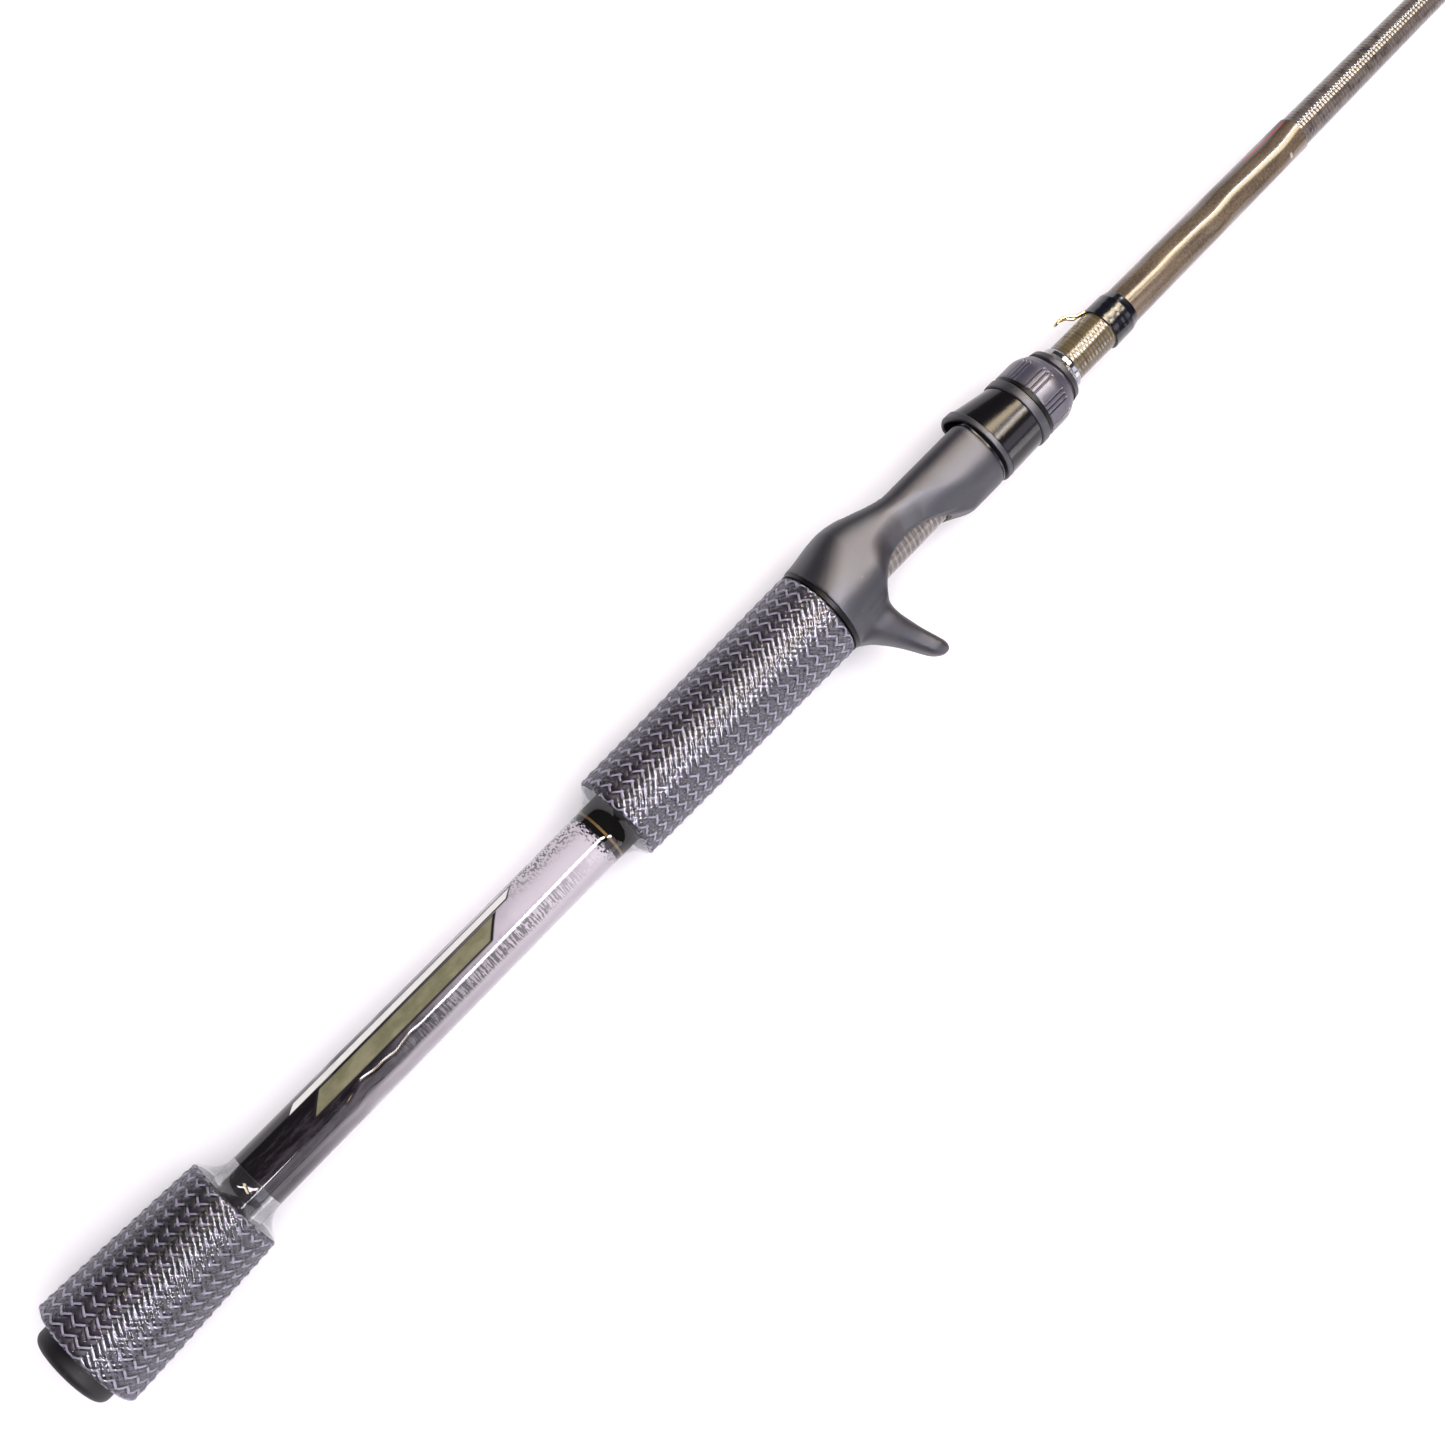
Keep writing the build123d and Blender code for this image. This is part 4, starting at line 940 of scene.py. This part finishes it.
seat_mesh = refined("reel_seat_skin", "reel_seat_body", voxel=0.42, rounds=5, cut=SEAT_END)
seat_mesh = shaped_seat(relaxed(seat_mesh, rounds=80, weight_at=root_weight))
seat_mesh = relaxed(seat_mesh, rounds=50, weight_at=saddle_weight)
piece("reel_seat_skin", seat_mesh, "seat_nylon", "rod", ["reel_seat_body"])


def section_line(node, x, count):
    """The outer line of a part's section across the rod at x, in mm: a radius for each of count turns."""
    form = bmesh.new()
    form.from_mesh(frame["nodes"][node].data)
    cut = bmesh.ops.bisect_plane(form, geom=form.verts[:] + form.edges[:] + form.faces[:], dist=1e-7,
                                 plane_co=(x * MM, 0, 0), plane_no=(1, 0, 0))
    edges = [[(v.co.y / MM, v.co.z / MM) for v in e.verts]
             for e in cut["geom_cut"] if isinstance(e, bmesh.types.BMEdge)]
    form.free()
    line = []
    for k in range(count):
        dy, dz = math.sin(math.tau * k / count), math.cos(math.tau * k / count)
        reach = 0.0
        for (ay, az), (by, bz) in edges:
            side_a, side_b = ay * dz - az * dy, by * dz - bz * dy
            if side_a * side_b <= 0 and side_a != side_b:
                share = side_a / (side_a - side_b)
                reach = max(reach, (ay + (by - ay) * share) * dy + (az + (bz - az) * share) * dz)
        line.append(reach)
    return line


# the seat's front edge follows its outer line, rounded off and sunk by a hair
EDGE_TURNS, EDGE_R, EDGE_INSET, EDGE_BORE = 180, 0.5, 0.03, 7.9
outer = section_line("reel_seat_body", BARREL - 1.2, EDGE_TURNS)
front = [(BARREL - EDGE_R + EDGE_R * math.sin(a), EDGE_INSET + EDGE_R * (1 - math.cos(a)))
         for a in (i * math.pi / 16 for i in range(8))]
rim = [(x, [reach - inset for reach in outer]) for x, inset in [(SEAT_END - 0.25, EDGE_INSET)] + front]
rim += [(x, [EDGE_BORE] * EDGE_TURNS) for x in (BARREL, SEAT_END - 0.25)]
piece("seat_front_edge", ringed("seat_front_edge", rim, EDGE_TURNS, crease=50), "seat_nylon", "rod",
      material=satin)

# ---- hood --------------------------------------------------------------------------------

hood_mesh = refined("hood_insert_skin", "hood_insert", voxel=0.22, rounds=3)
piece("hood_insert_skin", hood_mesh, "seat_nylon", "hood", ["hood_insert"])

# ---- threaded barrel ---------------------------------------------------------------------


def barrel(name, slot, first, last, root, crest, pitch, bore, key_width, key_floor):
    """The seat's front barrel: a helical thread with a keyway along its underside."""
    rows = math.ceil((last - first) / pitch * 10)
    shape = Shape(name, rows=rows + 5, turns=121, reach=(rows + 4) / rows, first=first, length=last - first,
                  root=root, crest=crest, pitch=pitch, bore=bore, key_half=key_width / 2, key_floor=key_floor)
    size = shape.size
    grid, level, turn, past = shape.tube_grid()
    x = size("first") + level * size("length")
    phase = (x / size("pitch") + turn) % 1.0
    tooth = (1.0 - (phase - 0.5).math("ABSOLUTE") * 4.0).math("MAXIMUM", 0.0).math("MINIMUM", 1.0)
    r = size("root") + (size("crest") - size("root")) * tooth
    z = (turn * math.tau).math("SINE")
    y = -(turn * math.tau).math("COSINE")
    keyed = ((z * r).math("ABSOLUTE") < size("key_half")) * (y < 0.0)
    floor_r = size("key_floor") / (-y).math("MAXIMUM", 0.5)
    r = r + (floor_r.math("MINIMUM", r) - r) * keyed
    r = r + (size("bore") - r) * past
    return shape.rolled(grid, x, r * y, r * z, slot, 30)


piece("threaded_barrel",
      barrel("threaded_barrel", "seat_nylon", first=BARREL + 0.02, last=BARREL_END, root=8.2, crest=8.8,
             pitch=2.0, bore=BORE, key_width=3.0, key_floor=7.95),
      "seat_nylon", "rod")

# ---- lock nut ----------------------------------------------------------------------------


def grooved(name, slot, first, last, radius, bore, groups, step, depth, half_angle, stop, run, ease, nose,
            drop):
    """The nut's body: groups of three grooves along it, open at the rear and run out before the front rim.

    A group's grooves are step degrees apart and half_angle wide to each side. They stop short of the
    front and run out over run. The edges are eased, and the nose falls off by drop.
    """
    rows = 34
    shape = Shape(name, rows=rows + 5, turns=groups * 120 + 1, reach=(rows + 4) / rows, first=first,
                  length=last - first, radius=radius, bore=bore, group_angle=360.0 / groups, step=step,
                  depth=depth, half_angle=half_angle, stop=stop, run=run, ease=ease, nose=nose, drop=drop)
    size = shape.size

    def share_left(length, reach):
        """1 at an end of the nut, 0 from reach inwards."""
        return (1.0 - length / size(reach)).math("MAXIMUM", 0.0)

    grid, level, turn, past = shape.tube_grid()
    ahead = level * size("length")
    left = size("length") - ahead
    half = size("group_angle") * 0.5
    off = ((turn * 360.0 + 720.0 + half) % size("group_angle") - half).math("ABSOLUTE")
    near = off.math("MINIMUM", (off - size("step")).math("ABSOLUTE")) / size("half_angle")
    groove = (1.0 - near * near).math("MAXIMUM", 0.0).math("SQRT")
    run_out = ((left - size("stop")) / size("run")).math("MAXIMUM", 0.0).math("MINIMUM", 1.0)
    corner = share_left(ahead, "ease") ** 2.0 + share_left(left, "ease") ** 2.0
    fallen = share_left(left, "nose") ** 1.7 * size("drop")
    r = size("radius") - fallen - size("depth") * groove * run_out - corner * size("ease")
    r = r + (size("bore") - r) * past
    return shape.rolled(grid, size("first") + ahead, r * (turn * math.tau).math("COSINE"),
                        r * (turn * math.tau).math("SINE"), slot, 40)


NUT = [v / MM for v in span("lock_nut")]
piece("nut_body",
      grooved("nut_body", "nut_nylon", first=NUT[0], last=NUT[1], radius=NUT[2], bore=9.7, groups=9, step=8.0,
              depth=0.65, half_angle=1.9, stop=1.2, run=0.9, ease=0.15, nose=3.4, drop=1.0),
      "nut_nylon", "nut", ["lock_nut"])

# ---- floor -------------------------------------------------------------------------------

floor_paper = Finish("floor_paper", Base_Color=(0.9, 0.89, 0.895), Roughness=0.6)
floor = bmesh.new()
for x, y in ((-3, -3), (5, -3), (5, 3), (-3, 3)):
    floor.verts.new((x, y, FLOOR))
floor.faces.new(floor.verts)
floor_mesh = bpy.data.meshes.new("studio_floor")
floor.to_mesh(floor_mesh)
floor_mesh.materials.append(floor_paper.material)
floor_sheet = bpy.data.objects.new("studio_floor", floor_mesh)
bpy.context.scene.collection.objects.link(floor_sheet)
